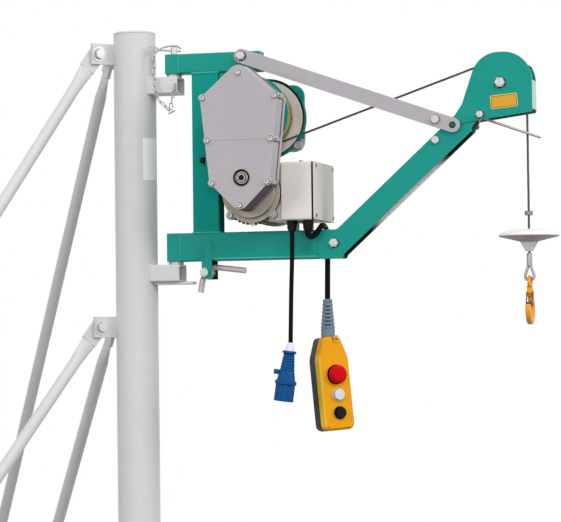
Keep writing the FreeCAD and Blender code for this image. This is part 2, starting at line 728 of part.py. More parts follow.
def on_clip(out, up=0):
    """A point of the clip: out from the pin's axis towards its ring, and above its hole."""
    return V(PIN_X, 0, clip_z + up) + clip_out * out


def hinge_pins():
    """Two pins standing in the brackets, each with a collar that carries an arm."""
    pins = []
    for arm_bottom, top in ((upper_arm_z, pin_top), (JIB_Z, lower_arm_top - SEAT)):
        stub_top = arm_bottom - bracket_drop
        shank = upright(PIN_X, 0, PIN_R, stub_top - BRACKET_H, top)
        collar = upright(PIN_X, 0, PIN_COLLAR_R, stub_top + SEAT, arm_bottom - SEAT)
        pins.append(join([shank, collar]))
    pins[0] = pins[0].cut(rod(on_clip(-PIN_COLLAR_R), on_clip(PIN_COLLAR_R), CLIP_WIRE_R + SEAT))
    return group(pins)


def pin_clip():
    """A hairpin clip through the upper pin, bowed over its top, with a ring at its eye."""
    neck = PIN_R + CLIP_NECK
    tail = -PIN_R - CLIP_TAIL
    over = CLIP_DOWN + CLIP_WIRE_R + SIDE
    bar = rod(on_clip(neck), on_clip(tail), CLIP_WIRE_R)
    middle = on_clip(neck + CLIP_RING_R)
    ring = Part.makeTorus(CLIP_RING_R, CLIP_WIRE_R, middle, clip_out.cross(V(0, 0, 1)))
    bow = [on_clip(neck), on_clip(neck - CLIP_NECK / 3, over / 2), on_clip(PIN_R, over),
           on_clip(-PIN_R - CLIP_WIRE_R, over), on_clip(tail, over / 2)]
    return join([bar, ring, swept(route_wire(bow), CLIP_WIRE_R)])


def lock_plate():
    """A flat bar under the lower bracket; its round nose has a slot for the lock's peg."""
    top = JIB_Z - bracket_drop - BRACKET_H
    low = top - LOCK_PLATE_T
    end = PIN_X + LOCK_PLATE_REACH
    bar = box((0, -LOCK_PLATE_HALF, low), (end, LOCK_PLATE_HALF, top))
    bar = bar.common(join([upright(PIN_X, 0, LOCK_PLATE_REACH, low, top),
                           box((0, -LOCK_PLATE_HALF, low), (PIN_X, LOCK_PLATE_HALF, top))]))
    bar = bar.cut(upright(0, 0, MAST_R + SEAT, low, top))
    slot_x = end - LOCK_SLOT_DEPTH + LOCK_SLOT_HALF
    slot = box((slot_x, -LOCK_SLOT_HALF, low), (end, LOCK_SLOT_HALF, top))
    return bar.cut(slot).cut(upright(slot_x, 0, LOCK_SLOT_HALF, low, top))


def hinge_sleeves():
    blocks = []
    for low, high in ((upper_arm_z, upper_arm_top), (JIB_Z, lower_arm_top)):
        block = rounded_block((PIN_X - SLEEVE_BACK, -arm_half, low), (sleeve_end, arm_half, high),
                              SLEEVE_ROUND, V(0, 0, 1))
        blocks.append(block.cut(upright(PIN_X, 0, PIN_R + RUN, low, high)))
    return group(blocks)


def upper_arm():
    low = (sleeve_end, -arm_half, upper_arm_z)
    high = (upper_arm_end, arm_half, upper_arm_top)
    tube = hollow_bar(low, high, ARM_WALL, "x", ARM_ROUND, ARM_WALL)
    return tube.cut(across(*tie_start, CROSS_PIN_R + SEAT, -arm_half, arm_half))


def lower_arm():
    low = (sleeve_end, -arm_half, JIB_Z)
    high = (lower_arm_end, arm_half, lower_arm_top)
    tube = hollow_bar(low, high, ARM_WALL, "x", ARM_ROUND)
    return tube.cut(across(knuckle_x, knuckle_z, CROSS_PIN_R + SEAT, -arm_half, arm_half))


def riser():
    low = (riser_x, -arm_half, lower_arm_top)
    high = (riser_end, arm_half, upper_arm_z)
    return hollow_bar(low, high, ARM_WALL, "z", ARM_ROUND)


def boom():
    """Folded channel: two side plates and the web along its upper edge."""
    foot_x = lower_arm_end - BOOM_FOOT_BACK
    heel_x = lower_arm_end + BOOM_HEEL
    top_end = boom_top_start + boom_along * BOOM_LENGTH
    meet = boom_low_start + boom_along * ((heel_x + BOOM_HEEL_STEP - boom_low_start.x) / boom_along.x)
    outline = [(foot_x, JIB_Z), (heel_x, JIB_Z), (meet.x, meet.z), (boom_low_end.x, boom_low_end.z),
               (top_end.x, top_end.z), (boom_top_start.x, lower_arm_top), (foot_x, lower_arm_top)]
    plate = side_plate(outline, BOOM_ROUNDS, -boom_out, -boom_in)
    for x, z in ((knuckle_x, knuckle_z), tie_end):
        plate = plate.cut(across(x, z, CROSS_PIN_R + SEAT, -boom_out, -boom_in))
    web_start = boom_top_start + boom_along * WEB_START
    web_end = top_end - boom_along * WEB_END
    corners = [web_start, web_end, web_end + boom_inward * BOOM_T, web_start + boom_inward * BOOM_T]
    web = side_plate([(c.x, c.z) for c in corners], [0, 0, 0, 0], -boom_in, boom_in)
    return join([plate, mirrored(plate), web])


def cross_bolt(x, z, radius, head_radius, head_height, out):
    """A bolt along Y with a hexagon at each end, outside plates that end at plus and minus out."""
    shank = across(x, z, radius, -out - SIDE, out + SIDE)
    heads = [hexagon((x, side * (out + SEAT), z), (0, side, 0), head_radius, head_height)
             for side in (-1, 1)]
    return join([shank] + heads)


def knuckle_pin():
    return cross_bolt(knuckle_x, knuckle_z, CROSS_PIN_R, CROSS_HEAD_R, CROSS_HEAD_H, boom_out)


def tie_bars():
    start = V(tie_start[0], 0, tie_start[1])
    end = V(tie_end[0], 0, tie_end[1])
    along = (end - start).normalize()
    normal = V(along.z, 0, -along.x)
    half = TIE_W / 2
    corners = [start - along * half + normal * half, end + along * half + normal * half,
               end + along * half - normal * half, start - along * half - normal * half]
    bar = side_plate([(c.x, c.z) for c in corners], [half - SEAT] * 4, -tie_in - TIE_T, -tie_in)
    for place in (start, end):
        bar = bar.cut(across(place.x, place.z, CROSS_PIN_R + SEAT, -tie_in - TIE_T, -tie_in))
    spacer = end - along * TIE_SPACER_BACK
    tube = across(spacer.x, spacer.z, TIE_SPACER_R, -tie_in, tie_in)
    return join([bar, mirrored(bar), tube])


def tie_pins():
    """Bolt through the upper arm with distance rings, and plain pin through the head."""
    out = tie_in + TIE_T
    bolt = cross_bolt(*tie_start, CROSS_PIN_R, CROSS_HEAD_R, CROSS_HEAD_H, out)
    pin = across(*tie_end, CROSS_PIN_R, -out, out)
    ring_in = arm_half + SEAT
    ring_out = tie_in - SEAT
    ring = across(*tie_start, CROSS_HEAD_R, ring_in, ring_out)
    ring = ring.cut(across(*tie_start, CROSS_PIN_R + SEAT, ring_in, ring_out))
    return group([bolt, pin, ring, mirrored(ring)])


def head_housing():
    """Two cheeks of sheet with a folded rim over the top and down the front; open behind and below."""
    outline = [(sheave_x + x, sheave_z + z) for x, z in HEAD_OUTLINE]
    inside = head_half - HEAD_T
    cheek = side_plate(outline, HEAD_ROUNDS, -head_half, -inside)
    for x, z, radius in ((sheave_x, sheave_z, AXLE_R), (*limit_pin, LIMIT_PIN_R), (*tie_end, CROSS_PIN_R)):
        cheek = cheek.cut(across(x, z, radius + SEAT, -head_half, -inside))
    face = Part.Face(side_wire(outline, HEAD_ROUNDS, -inside))
    rim = face.cut(face.makeOffset2D(-HEAD_T)).extrude(V(0, 2 * inside, 0))
    far = 2 * head_half + SHEAVE_ROPE_R
    rim = rim.common(box((sheave_x - HEAD_RIM_BACK, -inside, sheave_z - HEAD_RIM_DOWN),
                         (sheave_x + far, inside, sheave_z + far)))
    window = box((rope_x, -inside, sheave_z + WINDOW_LOW), (sheave_x + far, inside, sheave_z + WINDOW_HIGH))
    rim = rim.cut(window)
    return join([cheek, mirrored(cheek), rim])


def head_pins():
    """Axle of the sheave and pivot of the limit lever."""
    axle = cross_bolt(sheave_x, sheave_z, AXLE_R, AXLE_HEAD_R, AXLE_HEAD_H, head_half)
    return group([axle, cross_bolt(*limit_pin, LIMIT_PIN_R, LIMIT_HEAD_R, AXLE_HEAD_H, head_half)])


def head_sheave():
    """Grooved rope wheel with a hub as wide as the room between the cheeks allows."""
    half = SHEAVE_W / 2
    web = half - SHEAVE_WEB
    bore = AXLE_R + RUN
    hub_r = bore + SHEAVE_HUB
    hub = head_half - HEAD_T - SIDE
    bottom = SHEAVE_ROPE_R - ROPE_R - SEAT
    rim_in = bottom - SHEAVE_RIM_T
    side = [(bottom, ROPE_R / 2), (bottom + SHEAVE_LIP, ROPE_R + SEAT), (SHEAVE_ROPE_R + SHEAVE_RIM, half),
            (rim_in + SHEAVE_LIP, half), (rim_in, web), (hub_r, web), (hub_r, hub), (bore, hub)]
    profile = side + [(r, -h) for r, h in reversed(side)]
    return turned(profile, (sheave_x, 0, sheave_z), (0, 1, 0))


def limit_lever():
    """Two wires that straddle the rope, bent into one hairpin, on a hub; a short tail works the switch."""
    half = LIMIT_GAP / 2
    pivot = V(limit_pin[0], 0, limit_pin[1])
    tip = V(limit_tip[0], 0, limit_tip[1])
    along = (tip - pivot).normalize()
    drop = V(along.z, 0, -along.x) * (LIMIT_HUB_R - LIMIT_WIRE_R)
    near, far = [[pivot + drop + V(0, side * half, 0), tip + V(0, side * half, 0) - along * half]
                 for side in (-1, 1)]
    edges = [Part.LineSegment(near[0], near[1]).toShape(),
             Part.Arc(near[1], tip, far[1]).toShape(),
             Part.LineSegment(far[1], far[0]).toShape()]
    hairpin = swept(Part.Wire(edges), LIMIT_WIRE_R)
    hub_half = head_half - HEAD_T - SIDE
    hub = across(pivot.x, pivot.z, LIMIT_HUB_R, -hub_half, hub_half)
    tail = rod(pivot, (limit_tail[0], 0, limit_tail[1]), LIMIT_TAIL_R)
    roller = across(*limit_tail, LIMIT_ROLLER_R, -half, half)
    solid = join([hub, hairpin, tail, roller])
    return solid.cut(across(pivot.x, pivot.z, LIMIT_PIN_R + RUN, -hub_half, hub_half))


def rope_slope():
    """Angle of the rope's run from under the drum to over the sheave."""
    dx = sheave_x - winch_x
    dz = sheave_z - drum_z
    return math.atan2(dz, dx) + math.asin((DRUM_ROPE_R + SHEAVE_ROPE_R) / math.hypot(dx, dz))


def hoist_rope():
    """From under the drum, over the sheave and down to the ferrule."""
    slope = rope_slope()
    square = V(math.sin(slope), 0, -math.cos(slope))
    leave = V(winch_x, 0, drum_z) + square * DRUM_ROPE_R
    meet = V(sheave_x, 0, sheave_z) - square * SHEAVE_ROPE_R
    turn = (math.pi / 2 + slope) / 2
    middle = V(sheave_x, 0, sheave_z) + V(math.cos(turn), 0, math.sin(turn)) * SHEAVE_ROPE_R
    plumb = V(rope_x, 0, sheave_z)
    wire = Part.Wire([Part.LineSegment(leave, meet).toShape(),
                      Part.Arc(meet, middle, plumb).toShape(),
                      Part.LineSegment(plumb, V(rope_x, 0, ferrule_top)).toShape()])
    return swept(wire, ROPE_R)


def rope_stop():
    edge = SIDE
    profile = [(ROPE_R, 0), (STOP_R - edge, 0), (STOP_R, edge), (STOP_R, STOP_H - edge),
               (STOP_R - edge, STOP_H), (ROPE_R, STOP_H)]
    return turned(profile, (rope_x, 0, sheave_z - STOP_DOWN), (0, 0, 1))


def hook_weight():
    """A domed disc with a stepped cone below, threaded on the rope above the hook."""
    bore = ROPE_R + SEAT
    low = WEIGHT_RIM + WEIGHT_CONE
    foot = -low - WEIGHT_BOSS
    edge = SIDE
    dome = []
    for share in WEIGHT_DOME_STEPS:
        dome.append((WEIGHT_R * share, WEIGHT_DOME * math.sqrt(1 - share ** 2)))
    profile = [(bore, foot), (WEIGHT_BOSS_END_R, foot), (WEIGHT_BOSS_R, -low), (WEIGHT_CONE_R, -low + edge),
               (WEIGHT_R - edge, -WEIGHT_RIM), (WEIGHT_R, -WEIGHT_RIM + edge), (WEIGHT_R, 0)]
    profile += dome + [(bore, WEIGHT_DOME)]
    return turned(profile, (rope_x, 0, sheave_z - WEIGHT_DOWN), (0, 0, 1))


def rope_eye():
    """Pressed ferrule and the loop of rope round its thimble, in the jib's plane."""
    middle = V(rope_x, 0, thimble_mid)
    low = V(rope_x, 0, thimble_low)
    top = V(rope_x - ROPE_R, 0, ferrule_foot + SIDE)
    reach = top - middle
    turn = math.degrees(math.acos(THIMBLE_HALF / reach.Length))
    out = FreeCAD.Rotation(V(0, 1, 0), -turn).multVec(reach).normalize()
    touch = middle + out * THIMBLE_HALF
    side = middle + (out + V(0, 0, -1)).normalize() * THIMBLE_HALF
    loop = swept(Part.Wire([Part.LineSegment(top, touch).toShape(), Part.Arc(touch, side, low).toShape()]),
                 THIMBLE_WIRE_R)
    edge = FERRULE_EDGE
    profile = [(0, 0), (FERRULE_R - edge, 0), (FERRULE_R, edge), (FERRULE_R, FERRULE_H - edge),
               (FERRULE_R - edge, FERRULE_H), (0, FERRULE_H)]
    ferrule = turned(profile, (rope_x, 0, ferrule_foot), (0, 0, 1))
    return join([ferrule, loop, loop.mirror(middle, V(1, 0, 0))])


def yz_plate(points, radii, low_x, high_x):
    """A plate across X, cut to an outline of y and z."""
    wire = rounded_wire([V(low_x, y, z) for y, z in points], radii)
    return Part.Face(wire).extrude(V(high_x - low_x, 0, 0))


def along_x(y, z, radius, half):
    """A round bar along X, centred on the rope."""
    return rod((rope_x - half, y, z), (rope_x + half, y, z), radius)


def hook():
    """Eye hook in the plane across X, its mouth towards -Y."""
    half = HOOK_T / 2
    low = rope_x - half
    high = rope_x + half
    outer = HOOK_BOWL_R + HOOK_BOWL_RIM
    neck_half = HOOK_NECK_W / 2
    neck_top = hook_eye_z - HOOK_EYE_R
    eye = along_x(0, hook_eye_z, HOOK_EYE_R + HOOK_EYE_RIM, HOOK_EYE_T / 2)
    bowl = along_x(0, hook_bowl_z, outer, half)
    back = [(outer + y, hook_bowl_z + z) for y, z in HOOK_BACK]
    outline = [(-neck_half, hook_bowl_z + HOOK_BOWL_R)] + back
    outline += [(neck_half, neck_top), (-neck_half, neck_top)]
    solid = join([eye, bowl, yz_plate(outline, HOOK_NECK_ROUNDS, low, high)])
    mouth = yz_plate([(y, hook_bowl_z + z) for y, z in HOOK_MOUTH], HOOK_MOUTH_ROUNDS, low, high)
    for space in (along_x(0, hook_bowl_z, HOOK_BOWL_R, half), mouth,
                  along_x(0, hook_eye_z, HOOK_EYE_R, half), along_x(*latch_pin, LATCH_PIN_R + RUN, half)):
        solid = solid.cut(space)
    return solid


def hook_latch():
    """Sheet latch that straddles the neck and closes the mouth from inside."""
    inner = HOOK_T / 2 + SEAT
    outer = inner + LATCH_T
    pin = V(0, *latch_pin)
    end = V(0, *latch_end)
    length = (end - pin).Length
    along = (end - pin).normalize()
    out = V(0, along.z, -along.y)

    def edge(place, side):
        """A point on the latch's edge, measured along it from the pin."""
        share = (place + LATCH_EYE) / (length + LATCH_EYE)
        return pin + along * place + out * side * (LATCH_EYE + (LATCH_TIP - LATCH_EYE) * share)

    corners = [edge(-LATCH_EYE, 1), edge(length, 1), edge(length, -1), edge(-LATCH_EYE, -1)]
    outline = [(c.y, c.z) for c in corners]
    rounds = [LATCH_EYE - SIDE, LATCH_ROUND, LATCH_ROUND, LATCH_EYE - SIDE]
    cheeks = [yz_plate(outline, rounds, rope_x + x, rope_x + x + LATCH_T) for x in (-outer, inner)]
    front = [edge(LATCH_SKIN_FROM, 1), edge(length - LATCH_ROUND, 1)]
    front += [point - out * LATCH_T for point in reversed(front)]
    skin = yz_plate([(c.y, c.z) for c in front], [0, 0, 0, 0], rope_x - outer, rope_x + outer)
    return join(cheeks + [skin, along_x(*latch_pin, LATCH_PIN_R, outer)])


def cover_outline(inset, y):
    """The gear unit's outline: pointed above and below, wider at the shoulders."""
    right = [(SHOULDER_HALF, shoulder_z), (LOWER_HALF, lower_z)]
    left = [(-x, z) for x, z in reversed(right)]
    points = [(0, apex_z)] + right + [(0, toe_z)] + left
    radii = [COVER_TIP_ROUND, COVER_ROUND, COVER_ROUND, COVER_TIP_ROUND, COVER_ROUND, COVER_ROUND]
    wire = side_wire([(gear_x + x, z) for x, z in points], radii, y)
    if inset:
        wire = Part.Face(wire).makeOffset2D(-inset).OuterWire
    return wire


def screw_places():
    """Middles of the cover's screws, a little inside its outline."""
    places = [(0, apex_z - APEX_SCREW_INSET), (0, toe_z + TOE_SCREW_INSET)]
    middle = ((SHOULDER_HALF + LOWER_HALF) / 2, (shoulder_z + lower_z) / 2)
    for half, z in ((SHOULDER_HALF, shoulder_z), middle, (LOWER_HALF, lower_z)):
        places += [(half - SCREW_INSET, z), (SCREW_INSET - half, z)]
    return [(gear_x + x, z) for x, z in places]


def gear_case():
    """Rear half of the gear unit, with a round seat that carries the motor."""
    case = Part.Face(cover_outline(0, CASE_BACK)).extrude(V(0, COVER_BACK + GASKET_T - CASE_BACK, 0))
    return join([case, across(winch_x, motor_z, ADAPTER_R, CASE_BACK, motor_front - SEAT)])


def cover_gasket():
    return Part.Face(cover_outline(-GASKET_LIP, COVER_BACK)).extrude(V(0, GASKET_T, 0))


def gear_cover():
    """Cast cover with drawn-in sides, screw bosses at its edge and a recessed oil plug."""
    sections = [cover_outline(0, COVER_BACK), cover_outline(COVER_DRAFT, COVER_FRONT)]
    shell = Part.makeLoft(sections, True, True)
    shell = shell.cut(box((gear_x - SHOULDER_HALF, COVER_FRONT, toe_z),
                          (gear_x + SHOULDER_HALF, COVER_FRONT + COVER_STEP, (shoulder_z + lower_z) / 2)))
    boss_front = COVER_FRONT - SCREW_BOSS_OUT
    solid = join([shell] + [across(x, z, SCREW_BOSS_R, boss_front, COVER_BACK) for x, z in screw_places()])
    pocket_y = COVER_FRONT + POCKET_BACK
    for x, z in screw_places():
        reach = math.copysign(SCREW_BOSS_R, x - gear_x)
        low, high = sorted([x + reach, x + reach * (1 - POCKET_DEPTH / SCREW_BOSS_R)])
        if abs(x - gear_x) > SCREW_BOSS_R:
            solid = solid.cut(box((low - SEAT, pocket_y, z - POCKET_H / 2),
                                  (high + SEAT, pocket_y + POCKET_L, z + POCKET_H / 2)))
    plug_x = gear_x + OIL_PLUG_OUT
    plug_z = motor_z + OIL_PLUG_UP
    floor = COVER_FRONT + OIL_RECESS_DEPTH
    solid = solid.cut(across(plug_x, plug_z, OIL_RECESS_R, boss_front, floor))
    plug = hexagon((plug_x, floor, plug_z), (0, -1, 0), OIL_HEX_R, OIL_RECESS_DEPTH + SCREW_BOSS_OUT)
    return join([solid, plug])


def winch_plate():
    """Plate behind the gear unit, welded to the riser by two blocks; the drum's shaft turns in it."""
    left = riser_end - PLATE_LAP
    right = winch_x + PLATE_HALF
    low = motor_z + PLATE_LOW_UP
    top = drum_z + PLATE_ABOVE
    corners = [(left, low), (right, low), (right, top), (left, top)]
    plate = side_plate(corners, [PLATE_ROUND] * 4, CASE_BACK, motor_front)
    plate = plate.cut(across(winch_x, drum_z, SHAFT_R + RUN, CASE_BACK, motor_front))
    blocks = [box((left, motor_front, z), (riser_end, -arm_half, z + PLATE_BLOCK_H))
              for z in (low + PLATE_BLOCK_IN, top - PLATE_BLOCK_H - PLATE_BLOCK_IN)]
    return join([plate] + blocks)


def drum():
    """Flanged drum welded on its shaft."""
    start = CASE_BACK + SIDE
    end = shaft_end - SIDE
    near_in = DRUM_NEAR + DRUM_FLANGE_T
    far_in = DRUM_FAR - DRUM_FLANGE_T
    rim = DRUM_FLANGE_R
    profile = [(0, start), (SHAFT_R, start), (SHAFT_R, DRUM_NEAR), (rim, DRUM_NEAR), (rim, near_in),
               (DRUM_CORE_R, near_in), (DRUM_CORE_R, far_in), (rim, far_in), (rim, DRUM_FAR),
               (SHAFT_R, DRUM_FAR), (SHAFT_R, end), (0, end)]
    return turned(profile, (winch_x, 0, drum_z), (0, 1, 0))


def wound_rope():
    """Turns of rope on the drum; the turn that the rope leaves from lies open."""
    low = DRUM_NEAR + DRUM_FLANGE_T + SEAT
    crest = DRUM_ROPE_R + ROPE_R
    valley = DRUM_ROPE_R
    under = DRUM_ROPE_R - ROPE_R - SEAT
    profile = [(DRUM_CORE_R, low)]
    for start, end in ((low, -LEAD_HALF), (LEAD_HALF, WINDING_END)):
        turns = round((end - start) / WINDING_PITCH)
        pitch = (end - start) / turns
        profile.append((under if start > 0 else valley, start))
        for k in range(turns):
            profile += [(crest, start + pitch * (k + share)) for share in WINDING_CREST]
            if k < turns - 1:
                profile.append((valley, start + pitch * (k + 1)))
        profile.append((under if end < 0 else valley, end))
    profile.append((DRUM_CORE_R, WINDING_END))
    return turned(profile, (winch_x, 0, drum_z), (0, 1, 0))


def drum_support():
    """Round plate behind the drum, on an arm from the riser."""
    left = riser_end - SUPPORT_LAP
    low = drum_z - SUPPORT_ARM_H / 2
    high = drum_z + SUPPORT_ARM_H / 2
    disc = across(winch_x, drum_z, SUPPORT_R, support_y, bearing_y)
    arm = box((left, support_y, low), (winch_x, bearing_y, high))
    block = hollow_bar((left, arm_half, low), (riser_end - SIDE, support_y, high), ARM_WALL, "y")
    return join([disc, arm, block]).cut(across(winch_x, drum_z, SHAFT_R + SIDE, support_y, bearing_y))


def bearing_plate():
    """Cast bearing of the drum's far end, bolted to the round plate."""
    half_w = BEARING_W / 2
    half_h = BEARING_H / 2
    corners = ((-half_w, -half_h), (half_w, -half_h), (half_w, half_h), (-half_w, half_h))
    points = [(winch_x + x, drum_z + z) for x, z in corners]
    face = bearing_y + BEARING_T
    rib_half = BEARING_RIB_T / 2
    pieces = [side_plate(points, [BEARING_ROUND] * 4, bearing_y, face),
              across(winch_x, drum_z, BEARING_HUB_R, bearing_y, bearing_end)]
    for x, z in corners:
        rib = box((0, bearing_y, -rib_half), (BEARING_RIB_REACH, face + BEARING_RIB_H, rib_half))
        rib.rotate(V(0, 0, 0), V(0, 1, 0), -math.degrees(math.atan2(z, x)))
        rib.translate(V(winch_x, 0, drum_z))
        pieces.append(rib)
    return join(pieces).cut(across(winch_x, drum_z, SHAFT_R + RUN, bearing_y, shaft_end))


def motor_shield():
    """Round end shield with four bolt ears."""
    disc = across(winch_x, motor_z, MOTOR_SHIELD_R, motor_front, motor_body_start)
    ears = []
    for x in (winch_x - MOTOR_EAR, winch_x + MOTOR_EAR):
        for z in (motor_z - MOTOR_EAR, motor_z + MOTOR_EAR):
            ears.append(across(x, z, MOTOR_EAR_R, motor_front, motor_body_start))
    return join([disc] + ears)


def motor_body():
    """Ribbed motor housing."""
    core = across(winch_x, motor_z, MOTOR_CORE_R, motor_body_start, motor_body_end)
    fins = []
    for k in range(MOTOR_FINS):
        fin = box((MOTOR_CORE_R - FIN_ROOT, motor_body_start, -MOTOR_FIN_T / 2),
                  (MOTOR_FIN_R, motor_body_end, MOTOR_FIN_T / 2))
        fin.rotate(V(0, 0, 0), V(0, 1, 0), 360 * (k + 0.5) / MOTOR_FINS)
        fin.translate(V(winch_x, 0, motor_z))
        fins.append(fin)
    return join([core] + fins)


def fan_cover():
    """Round hood with a star of air slots in its end."""
    end = motor_body_end + FAN_COVER_L
    cover = across(winch_x, motor_z, FAN_COVER_R, motor_body_end, end)
    rim = [e for e in cover.Edges if abs(e.BoundBox.YMin - end) < SEAT]
    slots = []
    for k in range(FAN_SLOTS):
        slot = box((FAN_SLOT_IN, end - FAN_SLOT_DEPTH, -FAN_SLOT_W / 2), (FAN_SLOT_OUT, end, FAN_SLOT_W / 2))
        slot.rotate(V(0, 0, 0), V(0, 1, 0), 360 * k / FAN_SLOTS)
        slot.translate(V(winch_x, 0, motor_z))
        slots.append(slot)
    return cover.makeFillet(FAN_COVER_ROUND, rim).cut(group(slots))


def control_box():
    high = (box_x + BOX_DEPTH, box_far, box_z + BOX_H)
    return rounded_block((box_x, BOX_NEAR, box_z), high, BOX_ROUND, V(1, 0, 0))


def control_box_lid():
    front = lid_x + LID_DEPTH
    lid = rounded_block((lid_x, BOX_NEAR, box_z), (front, box_far, box_z + BOX_H), BOX_ROUND, V(1, 0, 0))
    face = [e for e in lid.Edges if abs(e.BoundBox.XMin - front) < SEAT]
    return lid.makeChamfer(LID_BEVEL, face)


def box_gasket():
    return rounded_block((box_x + BOX_DEPTH, BOX_NEAR + SIDE, box_z + SIDE),
                         (lid_x, box_far - SIDE, box_z + BOX_H - SIDE), BOX_ROUND - SIDE, V(1, 0, 0))


def box_foot():
    """Hat-shaped strap that carries the control box on the lower arm."""
    start = box_x + BOX_FOOT_IN
    end = start + BOX_FOOT_W
    half = arm_half - BOX_FOOT_LAP
    legs = [box((x, -half, lower_arm_top), (x + BOX_FOOT_T, half, box_z))
            for x in (start, end - BOX_FOOT_T)]
    return join(legs + [box((start, -half, box_z - BOX_FOOT_T), (end, half, box_z))])


def cable_glands():
    glands = []
    for inward, cord_r in ((SUPPLY_GLAND_IN, SUPPLY_R), (PENDANT_GLAND_IN, PENDANT_CORD_R)):
        x = box_x + inward
        dome_r = GLAND_NUT_R - GLAND_DOME_IN
        nut = hexagon((x, GLAND_Y, box_z), (0, 0, -1), GLAND_NUT_R, GLAND_NUT_H)
        dome = turned([(0, 0), (dome_r, 0), (dome_r, GLAND_DOME_H / 2), (cord_r + GLAND_LIP, GLAND_DOME_H),
                       (0, GLAND_DOME_H)], (x, GLAND_Y, box_z - GLAND_NUT_H), (0, 0, -1))
        glands.append(join([nut, dome]))
    return group(glands)


def lock_bracket():
    """Two cheeks welded to the arm's sides, with the lever's bolt between them."""
    x, z = lock_pivot
    out = arm_half + LOCK_CHEEK_T
    start = x - LOCK_CHEEK_BACK
    end = start + LOCK_CHEEK_W
    low = z - LOCK_CHEEK_BELOW
    step_z = JIB_Z + LOCK_CHEEK_STEP
    top = JIB_Z + LOCK_CHEEK_UP
    outline = [(start, low), (end, low), (end, top), (start + LOCK_CHEEK_STEP, top),
               (start + LOCK_CHEEK_STEP, step_z), (start, step_z)]
    cheek = side_plate(outline, [0] * len(outline), -out, -arm_half)
    bolt = across(x, z, LOCK_PIVOT_R, -out, out)
    heads = [hexagon((x, side * out, z), (0, side, 0), LOCK_HEAD_R, LOCK_HEAD_H) for side in (-1, 1)]
    return join([cheek, mirrored(cheek), bolt] + heads)


def lock_lever():
    """Bent bar on a hub: a handle under the arm and a peg that drops into the lock plate's slot."""
    x, z = lock_pivot
    half = arm_half - SIDE
    hub = across(x, z, LOCK_HUB_R, -half, half)
    bar = swept(route_wire([(x + out, 0, z + up) for out, up in LOCK_BAR]), LOCK_BAR_R)
    return join([hub, bar]).cut(across(x, z, LOCK_PIVOT_R + RUN, -half, half))


def supply_cord():
    return swept(route_wire(SUPPLY_ROUTE, report="supply_cord"), SUPPLY_R)


def pendant_cord():
    return swept(route_wire(PENDANT_ROUTE, report="pendant_cord"), PENDANT_CORD_R)


def supply_plug():
    """Round pin plug: gland nut, ribbed grip, flange and shroud; it hangs on its cord, a little askew."""
    shroud_r = PLUG_BODY[-1][0]
    inside = shroud_r - PLUG_SHROUD_T
    (thin, grip_top), (thick, grip_end) = PLUG_GRIP
    grip = []
    for k in range(PLUG_RIBS):
        for share, depth in PLUG_RIB:
            along = (k + share) / PLUG_RIBS
            grip.append((thin + (thick - thin) * along - PLUG_GROOVE * depth,
                         grip_top + (grip_end - grip_top) * along))
    profile = [(0, SEAT)] + PLUG_NECK + grip + PLUG_BODY
    profile += [(shroud_r, PLUG_SHROUD_END), (inside, PLUG_SHROUD_END), (inside, PLUG_FLOOR), (0, PLUG_FLOOR)]
    pieces = [turned(profile, (0, 0, 0), (0, 0, -1)), box(*PLUG_LATCH)]
    for k in range(PLUG_PINS):
        angle = 2 * math.pi * k / PLUG_PINS
        x = PLUG_PIN_CIRCLE * math.cos(angle)
        y = PLUG_PIN_CIRCLE * math.sin(angle)
        pieces.append(upright(x, y, PLUG_PIN_R, -PLUG_FLOOR - PLUG_PIN_L, -PLUG_FLOOR))
    solid = join(pieces)
    place = FreeCAD.Placement(V(*SUPPLY_ROUTE[-1]), FreeCAD.Rotation(V(0, 1, 0), PLUG_TILT))
    solid.Placement = place.multiply(solid.Placement)
    return solid


def to_pendant(shape):
    """From the pendant's own frame, X right of its face, -Y out of it, Z up, to its place below the boot."""
    placed = shape.copy()
    placed.translate(V(PENDANT_ASIDE, 0, BOOT_H))
    turn = FreeCAD.Rotation(V(0, 0, 1), PENDANT_TURN)
    tilt = FreeCAD.Rotation(V(0, 1, 0), -PENDANT_TILT)
    place = FreeCAD.Placement(V(*PENDANT_ROUTE[-1]) - V(0, 0, BOOT_H), tilt.multiply(turn))
    placed.Placement = place.multiply(placed.Placement)
    return placed


def pendant_boot():
    """Ribbed bend relief that hangs plumb on the cord; its smooth foot is cut to the tilted case."""
    profile = [(0, SEAT), (BOOT_TOP_R - BOOT_LIP, SEAT)]
    step = BOOT_RIBBED / BOOT_RIBS
    for k in range(BOOT_RIBS):
        out = BOOT_TOP_R + (BOOT_END_R - BOOT_TOP_R) * (k + 1) / BOOT_RIBS
        for share, depth in BOOT_RIB:
            profile.append((out - BOOT_GROOVE * depth, step * (k + share)))
    foot = BOOT_H + BOOT_SPARE
    profile += [(BOOT_END_R, BOOT_RIBBED + SIDE), (BOOT_END_R, foot), (0, foot)]
    boot = turned(profile, PENDANT_ROUTE[-1], (0, 0, -1))
    wide = PENDANT_W / 2
    return boot.cut(to_pendant(box((-wide, -wide, -foot - BOOT_SPARE), (wide, wide, SEAT - BOOT_H))))


def pendant_shell(low_y, high_y, inset):
    """A half of the pendant's case, narrower at its shoulders."""
    half = PENDANT_W / 2 - inset
    top = -BOOT_H
    low = top - PENDANT_H
    shoulder = top - PENDANT_SHOULDER_H
    neck = half - PENDANT_SHOULDER_W
    points = [(-neck, top), (neck, top), (half, shoulder), (half, low), (-half, low), (-half, shoulder)]
    radii = [PENDANT_TOP_ROUND, PENDANT_TOP_ROUND, PENDANT_SHOULDER_ROUND, PENDANT_ROUND, PENDANT_ROUND,
             PENDANT_SHOULDER_ROUND]
    return side_plate(points, radii, low_y, high_y)


